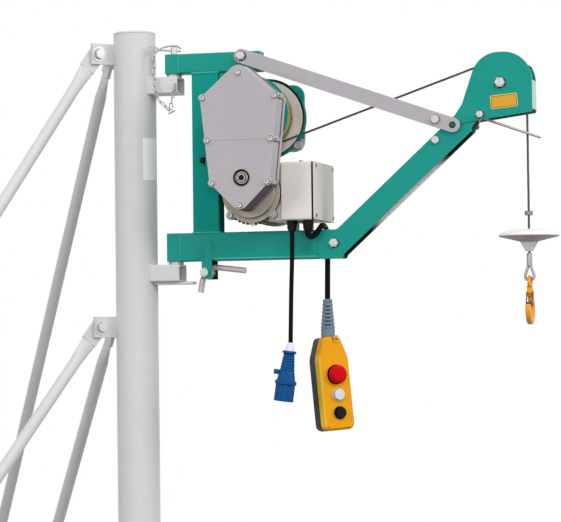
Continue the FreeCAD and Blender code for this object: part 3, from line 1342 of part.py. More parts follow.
def pendant_front():
    """Front half with a well for each button's stem."""
    front = pendant_shell(-PENDANT_FRONT, 0, 0)
    edges = [e for e in front.Edges if abs(e.BoundBox.YMax + PENDANT_FRONT) < SEAT]
    front = front.makeChamfer(FRONT_BEVEL, edges)
    for down in (STOP_BUTTON_DOWN, UP_BUTTON_DOWN, DOWN_BUTTON_DOWN):
        front = front.cut(across(0, -BOOT_H - down, BUTTON_STEM_R + SIDE, -PENDANT_FRONT, -BUTTON_WELL))
    return to_pendant(front)


def pendant_back():
    back = pendant_shell(SEAT, PENDANT_BACK, BACK_INSET)
    edges = [e for e in back.Edges if abs(e.BoundBox.YMin - PENDANT_BACK) < SEAT]
    return to_pendant(back.makeChamfer(BACK_BEVEL, edges))


def button(down, radius, cap, edge):
    """A push button on its stem, with a rounded cap."""
    z = -BOOT_H - down
    under = -PENDANT_FRONT - BUTTON_TRAVEL - SIDE
    face = under - cap
    stem = across(0, z, BUTTON_STEM_R, -BUTTON_WELL - BUTTON_TRAVEL - SIDE, under)
    head = across(0, z, radius, under, face)
    rim = [e for e in head.Edges if abs(e.BoundBox.YMax - face) < SEAT]
    return to_pendant(join([stem, head.makeFillet(edge, rim)]))


NODES = {
    "mast_tube": mast_tube,
    "mast_cap": mast_cap,
    "mast_foot": mast_foot,
    "base_legs": base_legs,
    "leg_pads": leg_pads,
    "brace_lugs": brace_lugs,
    "upper_braces": lambda: brace(upper_lug_z, upper_land),
    "lower_braces": lambda: brace(lower_lug_z, lower_land),
    "upper_bracket": lambda: bracket(upper_arm_z),
    "lower_bracket": lambda: bracket(JIB_Z),
    "hinge_pins": hinge_pins,
    "pin_clip": pin_clip,
    "lock_plate": lock_plate,
    "hinge_sleeves": hinge_sleeves,
    "upper_arm": upper_arm,
    "lower_arm": lower_arm,
    "riser": riser,
    "boom": boom,
    "knuckle_pin": knuckle_pin,
    "tie_bars": tie_bars,
    "tie_pins": tie_pins,
    "head_housing": head_housing,
    "head_pins": head_pins,
    "head_sheave": head_sheave,
    "limit_lever": limit_lever,
    "hoist_rope": hoist_rope,
    "rope_stop": rope_stop,
    "hook_weight": hook_weight,
    "rope_eye": rope_eye,
    "hook": hook,
    "hook_latch": hook_latch,
    "gear_case": gear_case,
    "cover_gasket": cover_gasket,
    "gear_cover": gear_cover,
    "winch_plate": winch_plate,
    "drum": drum,
    "wound_rope": wound_rope,
    "drum_support": drum_support,
    "bearing_plate": bearing_plate,
    "motor_shield": motor_shield,
    "motor_body": motor_body,
    "fan_cover": fan_cover,
    "control_box": control_box,
    "control_box_lid": control_box_lid,
    "box_gasket": box_gasket,
    "box_foot": box_foot,
    "cable_glands": cable_glands,
    "lock_bracket": lock_bracket,
    "lock_lever": lock_lever,
    "supply_cord": supply_cord,
    "supply_plug": supply_plug,
    "pendant_cord": pendant_cord,
    "pendant_boot": pendant_boot,
    "pendant_front": pendant_front,
    "pendant_back": pendant_back,
    "stop_button": lambda: button(STOP_BUTTON_DOWN, STOP_BUTTON_R, STOP_BUTTON_CAP, STOP_BUTTON_EDGE),
    "up_button": lambda: button(UP_BUTTON_DOWN, PUSH_R, BUTTON_CAP, BUTTON_EDGE),
    "down_button": lambda: button(DOWN_BUTTON_DOWN, PUSH_R, BUTTON_CAP, BUTTON_EDGE),
}


def main():
    os.makedirs("parts", exist_ok=True)
    for name, make in NODES.items():
        shape = make()
        if not shape.isValid():
            print(name, "is not valid")
        shape.exportStep("parts/%s.step" % name)
        print("%-16s solids %d  volume %.0f" % (name, len(shape.Solids), shape.Volume))


main()
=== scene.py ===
"""Looks of a scaffold hoist: finishes, welds, fasteners, ropes, cords and studio light on its frame."""
import logging
import math
import operator
import random
from collections.abc import Sequence
from dataclasses import dataclass, replace
from enum import Enum
from functools import reduce
from typing import Any, ClassVar, Optional, Union

import bmesh
import bpy
from mathutils import Matrix, Vector


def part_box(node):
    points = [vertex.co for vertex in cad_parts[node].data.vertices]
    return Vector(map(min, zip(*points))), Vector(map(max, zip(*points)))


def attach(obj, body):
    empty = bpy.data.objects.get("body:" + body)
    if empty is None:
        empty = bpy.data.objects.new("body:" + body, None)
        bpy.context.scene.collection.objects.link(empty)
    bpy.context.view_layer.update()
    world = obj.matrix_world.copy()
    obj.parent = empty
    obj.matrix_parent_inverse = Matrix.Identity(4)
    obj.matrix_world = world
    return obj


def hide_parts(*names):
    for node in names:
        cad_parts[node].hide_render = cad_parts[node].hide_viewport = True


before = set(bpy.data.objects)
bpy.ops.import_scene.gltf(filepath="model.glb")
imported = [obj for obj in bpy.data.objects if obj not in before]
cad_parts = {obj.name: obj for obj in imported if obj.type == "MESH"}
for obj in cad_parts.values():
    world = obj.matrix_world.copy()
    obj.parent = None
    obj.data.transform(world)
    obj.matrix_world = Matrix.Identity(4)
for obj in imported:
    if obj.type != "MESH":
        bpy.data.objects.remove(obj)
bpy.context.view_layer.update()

log = logging.getLogger("hoist")

Colour = tuple[float, float, float]
Point = Sequence[float]
Sizes = Sequence[float]
Profile = Sequence[Sequence[float]]
Bands = tuple[tuple[Any, ...], ...]
Term = Union["Value", float]
Inputs = dict[Union[int, str], Any]

MM = 0.001
EAST = Vector((1, 0, 0))
FAR = Vector((0, 1, 0))
NEAR = Vector((0, -1, 0))
UP = Vector((0, 0, 1))
SIDES = ((-1, NEAR), (1, FAR))

# Millimetres: the radius that closes a turned form, a plane beyond the part, the gap that merges points.
TIP = 0.01
BEYOND = 9000.0
MERGE_GAP = 0.002

# Angles between faces below which they are one, and above which an edge is rounded.
ONE_FACE = math.radians(0.3)
SHARP = math.radians(32)

# Millimetres: the hoist rope, on the drum and off it.
ROPE_RADIUS = 2.5
ROPE_LAY = 26.0

# Cells to a metre in the noises of the finishes.
BROAD = 9.0
PATCHY = 70.0
SETTLED = 26.0
SPECKS = 520.0
RUBBED = 34.0

# Where the masks of the finishes begin and end.
# Edges: wear and painted highlight. Closed in and underside: painted shade. Low angle: painted sheen.
EDGE_WEAR_AND_HIGHLIGHT = (0.02, 0.3)
DUSTED = (0.45, 0.75)
SPECKLED = (0.35, 0.75)
CLOSED_IN = (0.25, 0.85)
UNDERSIDE = (0.15, 0.75)
LOW_ANGLE = (0.55, 0.95)
UNEVEN = (0.3, 0.75)

# Shades of a finish's colour in specks and in its painted shade, and the spread of its roughness.
SPECK_SHADE = 0.35
PAINTED_SHADE_LEVEL = 0.12
ROUGH_SPREAD = 0.12

# Weld beads: step in millimetres, share of the radius at an end and its growth with each step, height of
# the ripples, their angle to a step and their unevenness.
BEAD_STEP = 0.8
BEAD_END = 0.35
BEAD_GROWTH = 0.3
RIPPLE = 0.12
RIPPLE_TURN = 1.9
RIPPLE_CHANCE = 0.05

# Millimetres: where a ring of painted shadow begins and ends above the face that carries it.
SHADOW_RING_RISE = (0.05, 0.45)


class Body(Enum):
    """Bodies of the frame that pieces ride on."""

    MAST = "mast"
    JIB = "jib"
    DRUM = "drum"


class Grain(Enum):
    """Kinds of fine relief on a surface."""

    SPRAYED = "sprayed"
    CAST = "cast"
    ROLLED = "rolled"
    MOULDED = "moulded"


class Fastener(Enum):
    """Profiles of bolt and screw parts, in shares of radius and height; a third number counts flats."""

    WASHER = ((0.98, 0), (1, 0.09), (1, 0.18), (0, 0.18))
    HEXAGON = ((1, 0.18, 6), (1, 0.86, 6), (0.86, 1), (0.5, 1.01), (0, 1.01))
    CROWN = ((0.9, -0.3, 6), (0.9, 1.6, 6), (0.74, 2.5), (0.4, 2.7), (0, 2.7))
    SOCKET = ((1, 0), (1, 0.82), (0.9, 1), (0.616, 1), (0.56, 0.9, 6), (0.56, 0.3, 6), (0, 0.25))
    SLOT = ((1, 0), (0.96, 0.5), (0.7, 0.9), (0.3, 1), (0.24, 0.6), (0, 0.55))


def at(x: float, y: float, z: float) -> Vector:
    """A point given in millimetres."""
    return Vector((x, y, z)) * MM


def middle(node: str) -> Vector:
    """Middle of a frame node's box."""
    low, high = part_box(node)
    return (low + high) / 2


def circle(count: int, shift: float = 0.0) -> list[float]:
    """Evenly spaced angles of a full turn, shifted by a share of a step."""
    return [2 * math.pi * (k + shift) / count for k in range(count)]


def spoke(angle: float, side: Vector = EAST, across: Vector = UP) -> Vector:
    """Direction at an angle from one axis towards another."""
    return side * math.cos(angle) + across * math.sin(angle)


def square(low: Vector, high: Vector) -> list[tuple[float, float]]:
    """Corners of a rectangle, in turn."""
    return [(low.x, low.y), (high.x, low.y), (high.x, high.y), (low.x, high.y)]


def pairs(items: Sequence[Any], closed: bool) -> list[tuple[Any, Any]]:
    """Neighbours in a row; in a closed one, the last is next to the first."""
    return list(zip(items, items[1:])) + ([(items[-1], items[0])] if closed else [])


def rounded(half: Sizes, radius: float, steps: int, side: Vector, across: Vector) -> list[Vector]:
    """Outline of a rectangle with round corners, about the origin.

    Args:
        half: Half its width and half its height, in millimetres.
        radius: Radius of the corners.
        steps: Steps in each corner.
        side: Direction of its width.
        across: Direction of its height.

    Returns:
        The points, in metres.
    """
    points = []
    for quarter, (right, top) in enumerate(((1, 1), (-1, 1), (-1, -1), (1, -1))):
        corner = side * right * (half[0] - radius) + across * top * (half[1] - radius)
        for k in range(steps + 1):
            angle = math.pi / 2 * (quarter + k / steps)
            points.append((corner + spoke(angle, side, across) * radius) * MM)
    return points


def linear(display: Colour) -> Colour:
    """Scene-linear channels of an 8-bit display colour."""
    shares = [channel / 255 for channel in display]
    return tuple(s / 12.92 if s <= 0.04045 else ((s + 0.055) / 1.055) ** 2.4 for s in shares)


def shade(colour: Colour, factor: float) -> Colour:
    """A colour made lighter or darker."""
    return tuple(min(1.0, channel * factor) for channel in colour)


def linked(name: str, data: bpy.types.ID) -> bpy.types.Object:
    """Puts an object into the scene.

    Args:
        name: Name of the object.
        data: Its mesh, curve, lamp or camera.

    Returns:
        The new object.
    """
    made = bpy.data.objects.new(name, data)
    bpy.context.scene.collection.objects.link(made)
    return made


class Value:
    """A number socket that takes part in arithmetic."""

    def __init__(self, shader: "Shader", socket: bpy.types.NodeSocket) -> None:
        """Wraps a socket of a shader's tree."""
        self.shader = shader
        self.socket = socket

    def _math(self, operation: str, *terms: Term) -> "Value":
        """A Math node on some terms."""
        return self.shader.value("ShaderNodeMath", {"operation": operation}, dict(enumerate(terms)))

    def __add__(self, other: Term) -> "Value":
        """Sum."""
        return self._math("ADD", self, other)

    def __sub__(self, other: Term) -> "Value":
        """Difference."""
        return self._math("SUBTRACT", self, other)

    def __rsub__(self, other: Term) -> "Value":
        """Difference from a number."""
        return self._math("SUBTRACT", other, self)

    def __mul__(self, other: Term) -> "Value":
        """Product."""
        return self._math("MULTIPLY", self, other)

    __radd__ = __add__
    __rmul__ = __mul__

    def larger(self, other: Term) -> "Value":
        """The larger of two values."""
        return self._math("MAXIMUM", self, other)

    def rise(self, low: float, high: float) -> "Value":
        """A smooth step from 0 to 1.

        Args:
            low: Where it begins.
            high: Where it ends.

        Returns:
            The step.
        """
        smooth = {"interpolation_type": "SMOOTHSTEP"}
        inputs = {"Value": self, "From Min": low, "From Max": high}
        return self.shader.value("ShaderNodeMapRange", smooth, inputs, "Result")


class Shader:
    """The node tree of one material or world."""

    def __init__(self, owner: bpy.types.ID, surface: str = "Principled BSDF") -> None:
        """Takes over the tree of a new material or world.

        Args:
            owner: The material or world.
            surface: Name of the node that makes its surface.
        """
        owner.use_nodes = True
        self.tree = owner.node_tree
        self.surface = self.tree.nodes[surface]

    def node(self, kind: str, settings: Optional[dict[str, Any]] = None,
             inputs: Optional[Inputs] = None) -> bpy.types.Node:
        """Adds a node.

        Args:
            kind: The node's type.
            settings: Properties that are set first.
            inputs: Values or links by socket name or number.

        Returns:
            The new node.
        """
        made = self.tree.nodes.new(kind)
        for name, setting in (settings or {}).items():
            setattr(made, name, setting)
        for name, given in (inputs or {}).items():
            self.feed(made.inputs[name], given)
        return made

    def feed(self, socket: bpy.types.NodeSocket, given: Any) -> None:
        """Links a socket to another one, or sets its value.

        Args:
            socket: The socket that takes it.
            given: A value of arithmetic, a socket, a colour or a number.
        """
        source = given.socket if isinstance(given, Value) else given
        if isinstance(source, bpy.types.NodeSocket):
            self.tree.links.new(source, socket)
        elif socket.type == "RGBA":
            socket.default_value = (*source, 1.0)
        else:
            socket.default_value = source

    def value(self, kind: str, settings: dict[str, Any], inputs: Inputs,
              output: Union[int, str] = 0) -> Value:
        """A node's output as a value for arithmetic."""
        return Value(self, self.node(kind, settings, inputs).outputs[output])

    def place(self) -> bpy.types.NodeSocket:
        """Points of the part's own frame."""
        return self.node("ShaderNodeTexCoord").outputs["Object"]

    def normal(self) -> bpy.types.NodeSocket:
        """The surface's own normal."""
        return self.node("ShaderNodeNewGeometry").outputs["Normal"]

    def dot(self, first: Any, second: Any) -> Value:
        """Product of two vectors, as a number."""
        inputs = {0: first, 1: second}
        return self.value("ShaderNodeVectorMath", {"operation": "DOT_PRODUCT"}, inputs, "Value")

    def noise(self, scale: float, detail: float = 2.0, stretch: Point = (1, 1, 1)) -> Value:
        """Soft noise.

        Args:
            scale: Cells to a metre.
            detail: Number of finer layers.
            stretch: Factors on the three axes.

        Returns:
            A value around one half.
        """
        mapping = self.node("ShaderNodeMapping", {}, {"Vector": self.place(), "Scale": stretch})
        inputs = {"Vector": mapping.outputs["Vector"], "Scale": scale, "Detail": detail}
        return self.value("ShaderNodeTexNoise", {}, inputs, "Fac")

    def cells(self, scale: float) -> Value:
        """Distance to the nearest of scattered points, for pits and spangle."""
        return self.value("ShaderNodeTexVoronoi", {}, {"Vector": self.place(), "Scale": scale}, "Distance")

    def edges(self, radius: float) -> Value:
        """Mask of outer edges, from how far a normal rounded over a radius leans."""
        soft = self.node("ShaderNodeBevel", {"samples": 4}, {"Radius": radius}).outputs["Normal"]
        return 1 - self.dot(soft, self.normal())

    def shut_in(self, reach: float) -> Value:
        """How much a point is closed in by what lies within a reach, 0 in the open."""
        return 1 - self.value("ShaderNodeAmbientOcclusion", {"samples": 6}, {"Distance": reach}, "AO")

    def downward(self) -> Value:
        """How far a surface faces down: 1 for an underside."""
        return self.value("ShaderNodeSeparateXYZ", {}, {0: self.normal()}, "Z") * -1

    def band(self, direction: Point, low: float, high: float, soft: float = 0.2) -> Value:
        """Mask of the points between two planes.

        Args:
            direction: The direction that the planes lie across.
            low: Place of the first plane along it, in millimetres.
            high: Place of the second one.
            soft: Half the width of the borders.

        Returns:
            The mask.
        """
        place = self.dot(self.place(), tuple(direction))
        return (place.rise((low - soft) * MM, (low + soft) * MM)
                * (1 - place.rise((high - soft) * MM, (high + soft) * MM)))

    def zone(self, bands: Bands) -> Value:
        """Mask of the points that lie in all of some bands."""
        return reduce(operator.mul, (self.band(*limits) for limits in bands))

    def grazing(self) -> Value:
        """Mask of surfaces that are seen at a low angle."""
        return self.value("ShaderNodeLayerWeight", {}, {"Blend": 0.5}, "Facing").rise(*LOW_ANGLE)

    def mix(self, share: Term, first: Any, second: Any) -> bpy.types.NodeSocket:
        """A colour between two others; the colour sockets of the node are its inputs 6 and 7."""
        inputs = {"Factor": share, 6: first, 7: second}
        return self.node("ShaderNodeMix", {"data_type": "RGBA"}, inputs).outputs[2]

    def seen(self) -> Value:
        """One for camera, reflected and transmitted rays, zero for rays that only carry light.

        Returns:
            The mask.
        """
        rays = self.node("ShaderNodeLightPath").outputs
        kinds = [Value(self, rays[f"Is {kind} Ray"]) for kind in ("Camera", "Glossy", "Transmission")]
        return kinds[0].larger(kinds[1]).larger(kinds[2])

    def relief(self, height: Value, depth: float) -> None:
        """Bump on the surface, as deep as given in millimetres."""
        bump = self.node("ShaderNodeBump", {}, {"Height": height, "Distance": depth * MM, "Strength": 1.0})
        self.feed(self.surface.inputs["Normal"], bump.outputs["Normal"])

    def set(self, **sockets: Any) -> None:
        """Feeds sockets of the surface; an underscore in a name stands for a space."""
        for name, given in sockets.items():
            self.feed(self.surface.inputs[name.replace("_", " ")], given)


@dataclass(frozen=True)
class Finish:
    """A finish of one material slot: display colour, gloss, fine grain, lighter edges, dust, painted shade
    and sheen.
    """

    slot: str
    colour: Colour
    rough: float
    grain: Grain
    metal: float = 0.0
    mottle: float = 0.06
    # Edges are lightened, partly as wear and partly as a painted highlight.
    edge_tint: float = 1.15
    edge_share: float = 0.5
    edge_width: float = 1.4
    dust: float = 0.08
    specular: float = 0.25
    speckle: float = 0.0
    # Painted shade: strength in closed-in places, how far it looks for them, and strength on undersides.
    crevice: float = 0.5
    reach: float = 7.0
    under: float = 0.0
    # Share of a pale painted sheen on surfaces seen at a low angle.
    painted_sheen: float = 0.0
    name: str = ""
    dust_colour: ClassVar[Colour] = (176, 170, 160)
    made: ClassVar[dict[str, bpy.types.Material]] = {}

    @property
    def title(self) -> str:
        """Name of the finish's material."""
        return self.name or self.slot

    def material(self) -> bpy.types.Material:
        """The finish's material, made once.

        Returns:
            The material.
        """
        if self.title not in Finish.made:
            Finish.made[self.title] = bpy.data.materials.new(self.title)
            self.paint(Shader(Finish.made[self.title]))
        return Finish.made[self.title]

    def tint(self, shader: Shader, display: Colour) -> bpy.types.NodeSocket:
        """Colour with mottling, edges lighter for wear and as a painted highlight, dust, specks, painted
        sheen and shade.

        Args:
            shader: The material's tree.
            display: The clean colour.

        Returns:
            The colour socket.
        """
        colour = linear(display)
        patches = shader.noise(BROAD, 3.0) * 0.6 + shader.noise(PATCHY, 3.0) * 0.4
        clean = shader.mix(patches, shade(colour, 1 - self.mottle), shade(colour, 1 + self.mottle))
        # Edges lighter: partly wear, partly a painted highlight.
        wear_and_highlight = shader.edges(self.edge_width * MM).rise(*EDGE_WEAR_AND_HIGHLIGHT) * self.edge_share
        edged = shader.mix(wear_and_highlight, clean, shade(colour, self.edge_tint))
        settled = shader.noise(SETTLED, 5.0).rise(*DUSTED) * self.dust
        dusty = shader.mix(settled, edged, linear(self.dust_colour))
        if self.speckle:
            specks = shader.noise(SPECKS, 1.0).rise(*SPECKLED) * self.speckle
            dusty = shader.mix(specks, dusty, shade(colour, SPECK_SHADE))
        # Painted sheen: a pale colour on surfaces seen at a low angle.
        if self.painted_sheen:
            pale = tuple(min(1.0, channel * 0.4 + 0.7) for channel in colour)
            dusty = shader.mix(shader.grazing() * self.painted_sheen, dusty, pale)
        # Painted shade: darker where nearby parts close a point in, and on undersides.
        painted_shade = shader.shut_in(self.reach * MM).rise(*CLOSED_IN) * self.crevice
        if self.under:
            painted_shade = painted_shade.larger(shader.downward().rise(*UNDERSIDE) * self.under)
        return shader.mix(painted_shade, dusty, shade(colour, PAINTED_SHADE_LEVEL))

    def gloss(self, shader: Shader) -> Value:
        """Roughness that varies a little over the surface."""
        return shader.noise(RUBBED, 4.0).rise(*UNEVEN) * ROUGH_SPREAD + (self.rough - ROUGH_SPREAD / 2)

    def layers(self, shader: Shader) -> dict[str, Any]:
        """What feeds the surface's sockets, by name."""
        colour = self.tint(shader, self.colour)
        return {"Base_Color": colour, "Roughness": self.gloss(shader), "Metallic": self.metal}

    def paint(self, shader: Shader) -> None:
        """Fills in the material's nodes."""
        shader.set(Specular_IOR_Level=self.specular, **self.layers(shader))
        self.texture(shader)

    def texture(self, shader: Shader) -> None:
        """Fine relief of the finish's grain.

        Args:
            shader: The material's tree.
        """
        if self.grain is Grain.SPRAYED:
            shader.relief(shader.noise(420.0) * 0.7 + shader.noise(60.0) * 0.3, 0.16)
        elif self.grain is Grain.CAST:
            pits = shader.cells(900.0).rise(0.0, 0.35)
            shader.relief(shader.noise(640.0, 3.0) * 0.7 + pits * 0.3, 0.3)
        elif self.grain is Grain.ROLLED:
            shader.relief(shader.noise(260.0, 3.0, (1.0, 1.0, 0.12)), 0.08)
        else:
            shader.relief(shader.noise(1500.0, 1.0) * 0.6 + shader.noise(90.0) * 0.4, 0.06)


@dataclass(frozen=True)
class Zoned(Finish):
    """A finish with a second colour where some bands meet, and perhaps a plain one inside others."""

    second: Colour = (255, 255, 255)
    bands: Bands = ()
    second_metal: float = 0.0
    second_rough: float = 0.4
    inner: Colour = (0, 0, 0)
    inner_bands: Bands = ()

    def layers(self, shader: Shader) -> dict[str, Any]:
        """What feeds the surface's sockets, zone by zone.

        Args:
            shader: The material's tree.

        Returns:
            Values and links by the sockets' names.
        """
        zone = shader.zone(self.bands)
        colour = self.tint(shader, self.colour)
        if self.inner_bands:
            colour = shader.mix(shader.zone(self.inner_bands), colour, linear(self.inner))
        metal = self.metal
        if self.second_metal != metal:
            metal = zone * (self.second_metal - metal) + metal
        return {"Base_Color": shader.mix(zone, colour, self.tint(shader, self.second)),
                "Roughness": self.gloss(shader) + zone * (self.second_rough - self.rough),
                "Metallic": metal}


@dataclass(frozen=True)
class Plated(Finish):
    """Bright plated steel with a warm cast and a spangled, slightly uneven gloss."""

    warm: ClassVar[Colour] = (0.68, 0.65, 0.60)  # linear

    def layers(self, shader: Shader) -> dict[str, Any]:
        """What feeds the surface's sockets.

        Args:
            shader: The material's tree.

        Returns:
            Values and links by the sockets' names.
        """
        spangle = shader.cells(420.0).rise(0.1, 0.6)
        cast = shader.noise(45.0, 3.0).rise(0.5, 0.8) * 0.35
        uneven = spangle * 0.1 + shader.noise(120.0, 3.0) * 0.12 + (self.rough - 0.1)
        return {"Base_Color": shader.mix(cast, self.tint(shader, self.colour), self.warm),
                "Roughness": uneven, "Metallic": self.metal}


GREEN = (24, 146, 133)
GREY = (182, 177, 182)
DARK_SEAL = (26, 26, 42)
PAINTED = {"rough": 0.38, "grain": Grain.SPRAYED, "edge_tint": 1.5, "edge_share": 0.45, "dust": 0.01,
           "specular": 0.1}
BOXED = {"rough": 0.45, "grain": Grain.SPRAYED, "mottle": 0.05, "edge_tint": 1.2, "specular": 0.15}

# The boom's own directions, along it and into its open side, and its top face, foot and hollow along them.
SLOPE = math.radians(42.2)
BOOM_UP = (math.cos(SLOPE), 0.0, math.sin(SLOPE))
BOOM_IN = (math.sin(SLOPE), 0.0, -math.cos(SLOPE))
BOOM_TOP = 444 * BOOM_IN[0] + 869 * BOOM_IN[2]
BOOM_FOOT = 476.2 * BOOM_UP[0] + 833.4 * BOOM_UP[2]
BOOM_HOLLOW = ((FAR, -20.6, 20.6), (BOOM_IN, BOOM_TOP + 1.2, BEYOND))


class Finishes:
    """All finishes of the hoist, by the record's slots."""
    # In every finish, crevice, reach and under paint shade into the colour, and edge_tint lightens edges
    # for wear and as a painted highlight.

    # Painted sheen: the stand's surfaces turn pale where seen at a low angle.
    POST = Finish("post_grey", (208, 207, 209), 0.45, Grain.SPRAYED, mottle=0.03, edge_tint=1.12, painted_sheen=0.7)
    PAINT = Finish("green_paint", GREEN, **PAINTED, crevice=0.8, reach=34.0)
    # Painted shade inside the head, and a painted sheen on surfaces seen at a low angle, such as its rim.
    HEAD = replace(PAINT, crevice=0.95, reach=40.0, painted_sheen=0.85, name="head_paint_shade_and_sheen")
    # Painted shade: dark where other parts are within 60 mm, as on the wall beside the motor.
    RISER = replace(PAINT, specular=0.0, crevice=0.95, reach=60.0, name="riser_paint_shaded")
    # Painted shade: the lock bracket's inner and far cheeks are dark brown.
    LOCK = Zoned("green_paint", GREEN, **PAINTED, second=(38, 32, 30), bands=((FAR, -12, 23.4),),
                 name="lock_paint_shaded_cheeks")
    # Painted shade: dark green inside the channel; painted light: a pale strip on its far wall above the
    # foot.
    BOOM = Zoned("green_paint", GREEN, **PAINTED, second=(255, 244, 244), edge_width=2.2, crevice=0.2,
                 inner=(12, 46, 40), inner_bands=BOOM_HOLLOW, name="boom_paint_lit_and_shaded",
                 bands=(*BOOM_HOLLOW, (BOOM_UP, BOOM_FOOT + 64, BOOM_FOOT + 252, 22)))
    CAST = Finish("cast_grey", GREY, 0.5, Grain.CAST, mottle=0.04, edge_tint=1.5, edge_share=0.85,
                  dust=0.06, edge_width=2.8, speckle=0.2, specular=0.12, crevice=0.15, under=0.92)
    CASE = Zoned("cast_grey", GREY, 0.5, Grain.CAST, edge_tint=1.4, edge_share=0.8, specular=0.12,
                 under=0.85, second=(176, 166, 152), bands=((FAR, -80.1, BEYOND),), inner=(176, 168, 164),
                 inner_bands=((FAR, -101, -93), (UP, 0, 985)), name="case_grey")
    BEARING = Zoned("cast_grey", (170, 165, 160), 0.5, Grain.CAST, edge_tint=1.3, specular=0.12,
                    second=GREEN, bands=((UP, 1067, BEYOND),), name="bearing_paint")
    MOTOR = Finish("motor_grey", (184, 174, 160), 0.5, Grain.CAST, edge_tint=1.25, dust=0.2, speckle=0.42,
                   specular=0.15, crevice=0.95, reach=14.0, under=0.6)
    FIN = Finish("motor_grey", (66, 62, 58), 0.5, Grain.CAST, edge_tint=1.4, specular=0.12, name="fin_grey")
    ZINC = Plated("zinc_steel", (190, 187, 189), 0.36, Grain.ROLLED, metal=0.3, dust=0.05, crevice=0.9,
                  reach=4.0)
    CHAIN = Plated("zinc_steel", (164, 160, 158), 0.34, Grain.ROLLED, metal=0.4, crevice=0.9,
                   name="chain_steel")
    LEVER = Finish("zinc_steel", (192, 176, 178), 0.42, Grain.ROLLED, metal=0.2, edge_tint=1.2,
                   name="lever_steel")
    LIMIT = Zoned("zinc_steel", (58, 42, 40), 0.4, Grain.ROLLED, metal=0.5, under=0.9,
                  second=(196, 184, 188), second_metal=0.2, bands=((EAST, 743, BEYOND),),
                  name="limit_steel")
    TIE = Finish("tie_grey", (176, 172, 177), 0.42, Grain.ROLLED, edge_tint=1.6, edge_share=0.9,
                 edge_width=3.0, speckle=0.1, specular=0.15)
    ROPE = Finish("rope_steel", (88, 76, 74), 0.45, Grain.ROLLED, metal=0.5, mottle=0.2, dust=0.06)
    WOUND = Finish("rope_steel", (160, 140, 94), 0.42, Grain.ROLLED, metal=0.3, mottle=0.22,
                   name="wound_rope")
    LOOP = Finish("loop_steel", (146, 142, 144), 0.35, Grain.ROLLED, metal=0.6, mottle=0.12)
    STOP = Finish("loop_steel", (118, 112, 110), 0.4, Grain.ROLLED, metal=0.5, name="rope_stop")
    DRUM = Zoned("drum_steel", (218, 211, 205), 0.42, Grain.ROLLED, metal=0.05, specular=0.15, crevice=0.7,
                 second=GREEN, second_rough=0.36, bands=((NEAR, 58.5, BEYOND),))
    IRON = Finish("sheave_iron", (84, 84, 86), 0.5, Grain.CAST, metal=0.4)
    WEIGHT = Zoned("weight_white", (236, 232, 230), 0.4, Grain.CAST, edge_tint=1.1, speckle=0.12,
                   specular=0.15, second=(198, 186, 186), second_rough=0.5, bands=((UP, 833.6, 847.3),))
    # Painted sheen on the label at low angles.
    LABEL = Finish("weight_white", (242, 242, 242), 0.5, Grain.MOULDED, dust=0.03, painted_sheen=0.4, name="label")
    HOOK = Finish("hook_orange", (234, 152, 26), 0.36, Grain.CAST, edge_tint=1.25, dust=0.05, specular=0.3)
    LATCH = Plated("latch_steel", (80, 78, 80), 0.4, Grain.ROLLED, metal=0.6)
    BRASS = Plated("latch_steel", (150, 142, 120), 0.35, Grain.ROLLED, metal=0.4, crevice=0.9,
                   name="oil_plug")
    GASKET = Finish("gasket_red", (96, 40, 42), 0.7, Grain.MOULDED, specular=0.1)
    SEAL = Finish("gasket_black", DARK_SEAL, 0.7, Grain.MOULDED, specular=0.1)
    LID = Finish("box_grey", (210, 205, 201), **BOXED, speckle=0.12, name="lid_grey")
    BOX = Zoned("box_grey", (230, 224, 220), **BOXED, speckle=0.14, second=DARK_SEAL, second_rough=0.7,
                bands=((EAST, 402.8, BEYOND),))
    PLASTIC = Finish("black_plastic", (14, 14, 16), 0.45, Grain.MOULDED, edge_tint=1.8, dust=0.02,
                     specular=0.08)
    CORD = Finish("cord_black", (8, 7, 9), 0.5, Grain.MOULDED, edge_tint=1.4, dust=0.0, specular=0.05)
    PLUG = Zoned("plug_blue", (4, 76, 132), 0.38, Grain.MOULDED, edge_tint=1.4, dust=0.02, specular=0.1,
                 under=0.75, crevice=0.9, reach=9.0, second=(222, 226, 236), second_rough=0.45)
    BOOT = Finish("boot_grey", (113, 132, 146), 0.55, Grain.MOULDED, edge_tint=1.2, crevice=0.9,
                  specular=0.15)
    YELLOW = Finish("pendant_yellow", (228, 157, 20), 0.4, Grain.MOULDED, edge_tint=1.2, dust=0.02,
                    specular=0.12, crevice=0.25)
    # Painted light: lighter yellow on the front shell's left wall, whose band is set in Pendant.build.
    SHELL = Zoned("pendant_yellow", (230, 158, 16), 0.4, Grain.MOULDED, edge_tint=1.3, dust=0.02,
                  specular=0.06, crevice=0.2, second=(255, 196, 52), name="shell_yellow_lit_wall")
    PLATE = Finish("pendant_yellow", (216, 160, 44), 0.4, Grain.MOULDED, specular=0.12, name="plate_yellow")
    PALE = replace(PLATE, colour=(250, 212, 110), dust=0.02, name="pale_yellow")
    DARK = Finish("pendant_dark", (52, 61, 67), 0.5, Grain.MOULDED, edge_tint=1.3, dust=0.03, specular=0.1)
    RED = Finish("stop_red", (198, 5, 17), 0.32, Grain.MOULDED, edge_tint=1.1, dust=0.0, specular=0.05)
    WHITE = Finish("button_white", (206, 210, 208), 0.35, Grain.MOULDED, dust=0.02)
    SEAM = Finish("green_paint", (62, 172, 160), 0.34, Grain.SPRAYED, dust=0.0, specular=0.2,
                  name="weld_paint")
    HEEL = Finish("green_paint", (20, 138, 116), 0.4, Grain.SPRAYED, dust=0.0, crevice=0.0,
                  name="heel_paint")
    DEEP = Finish("green_paint", (16, 100, 82), 0.4, Grain.SPRAYED, dust=0.0, specular=0.1,
                  name="pin_paint")


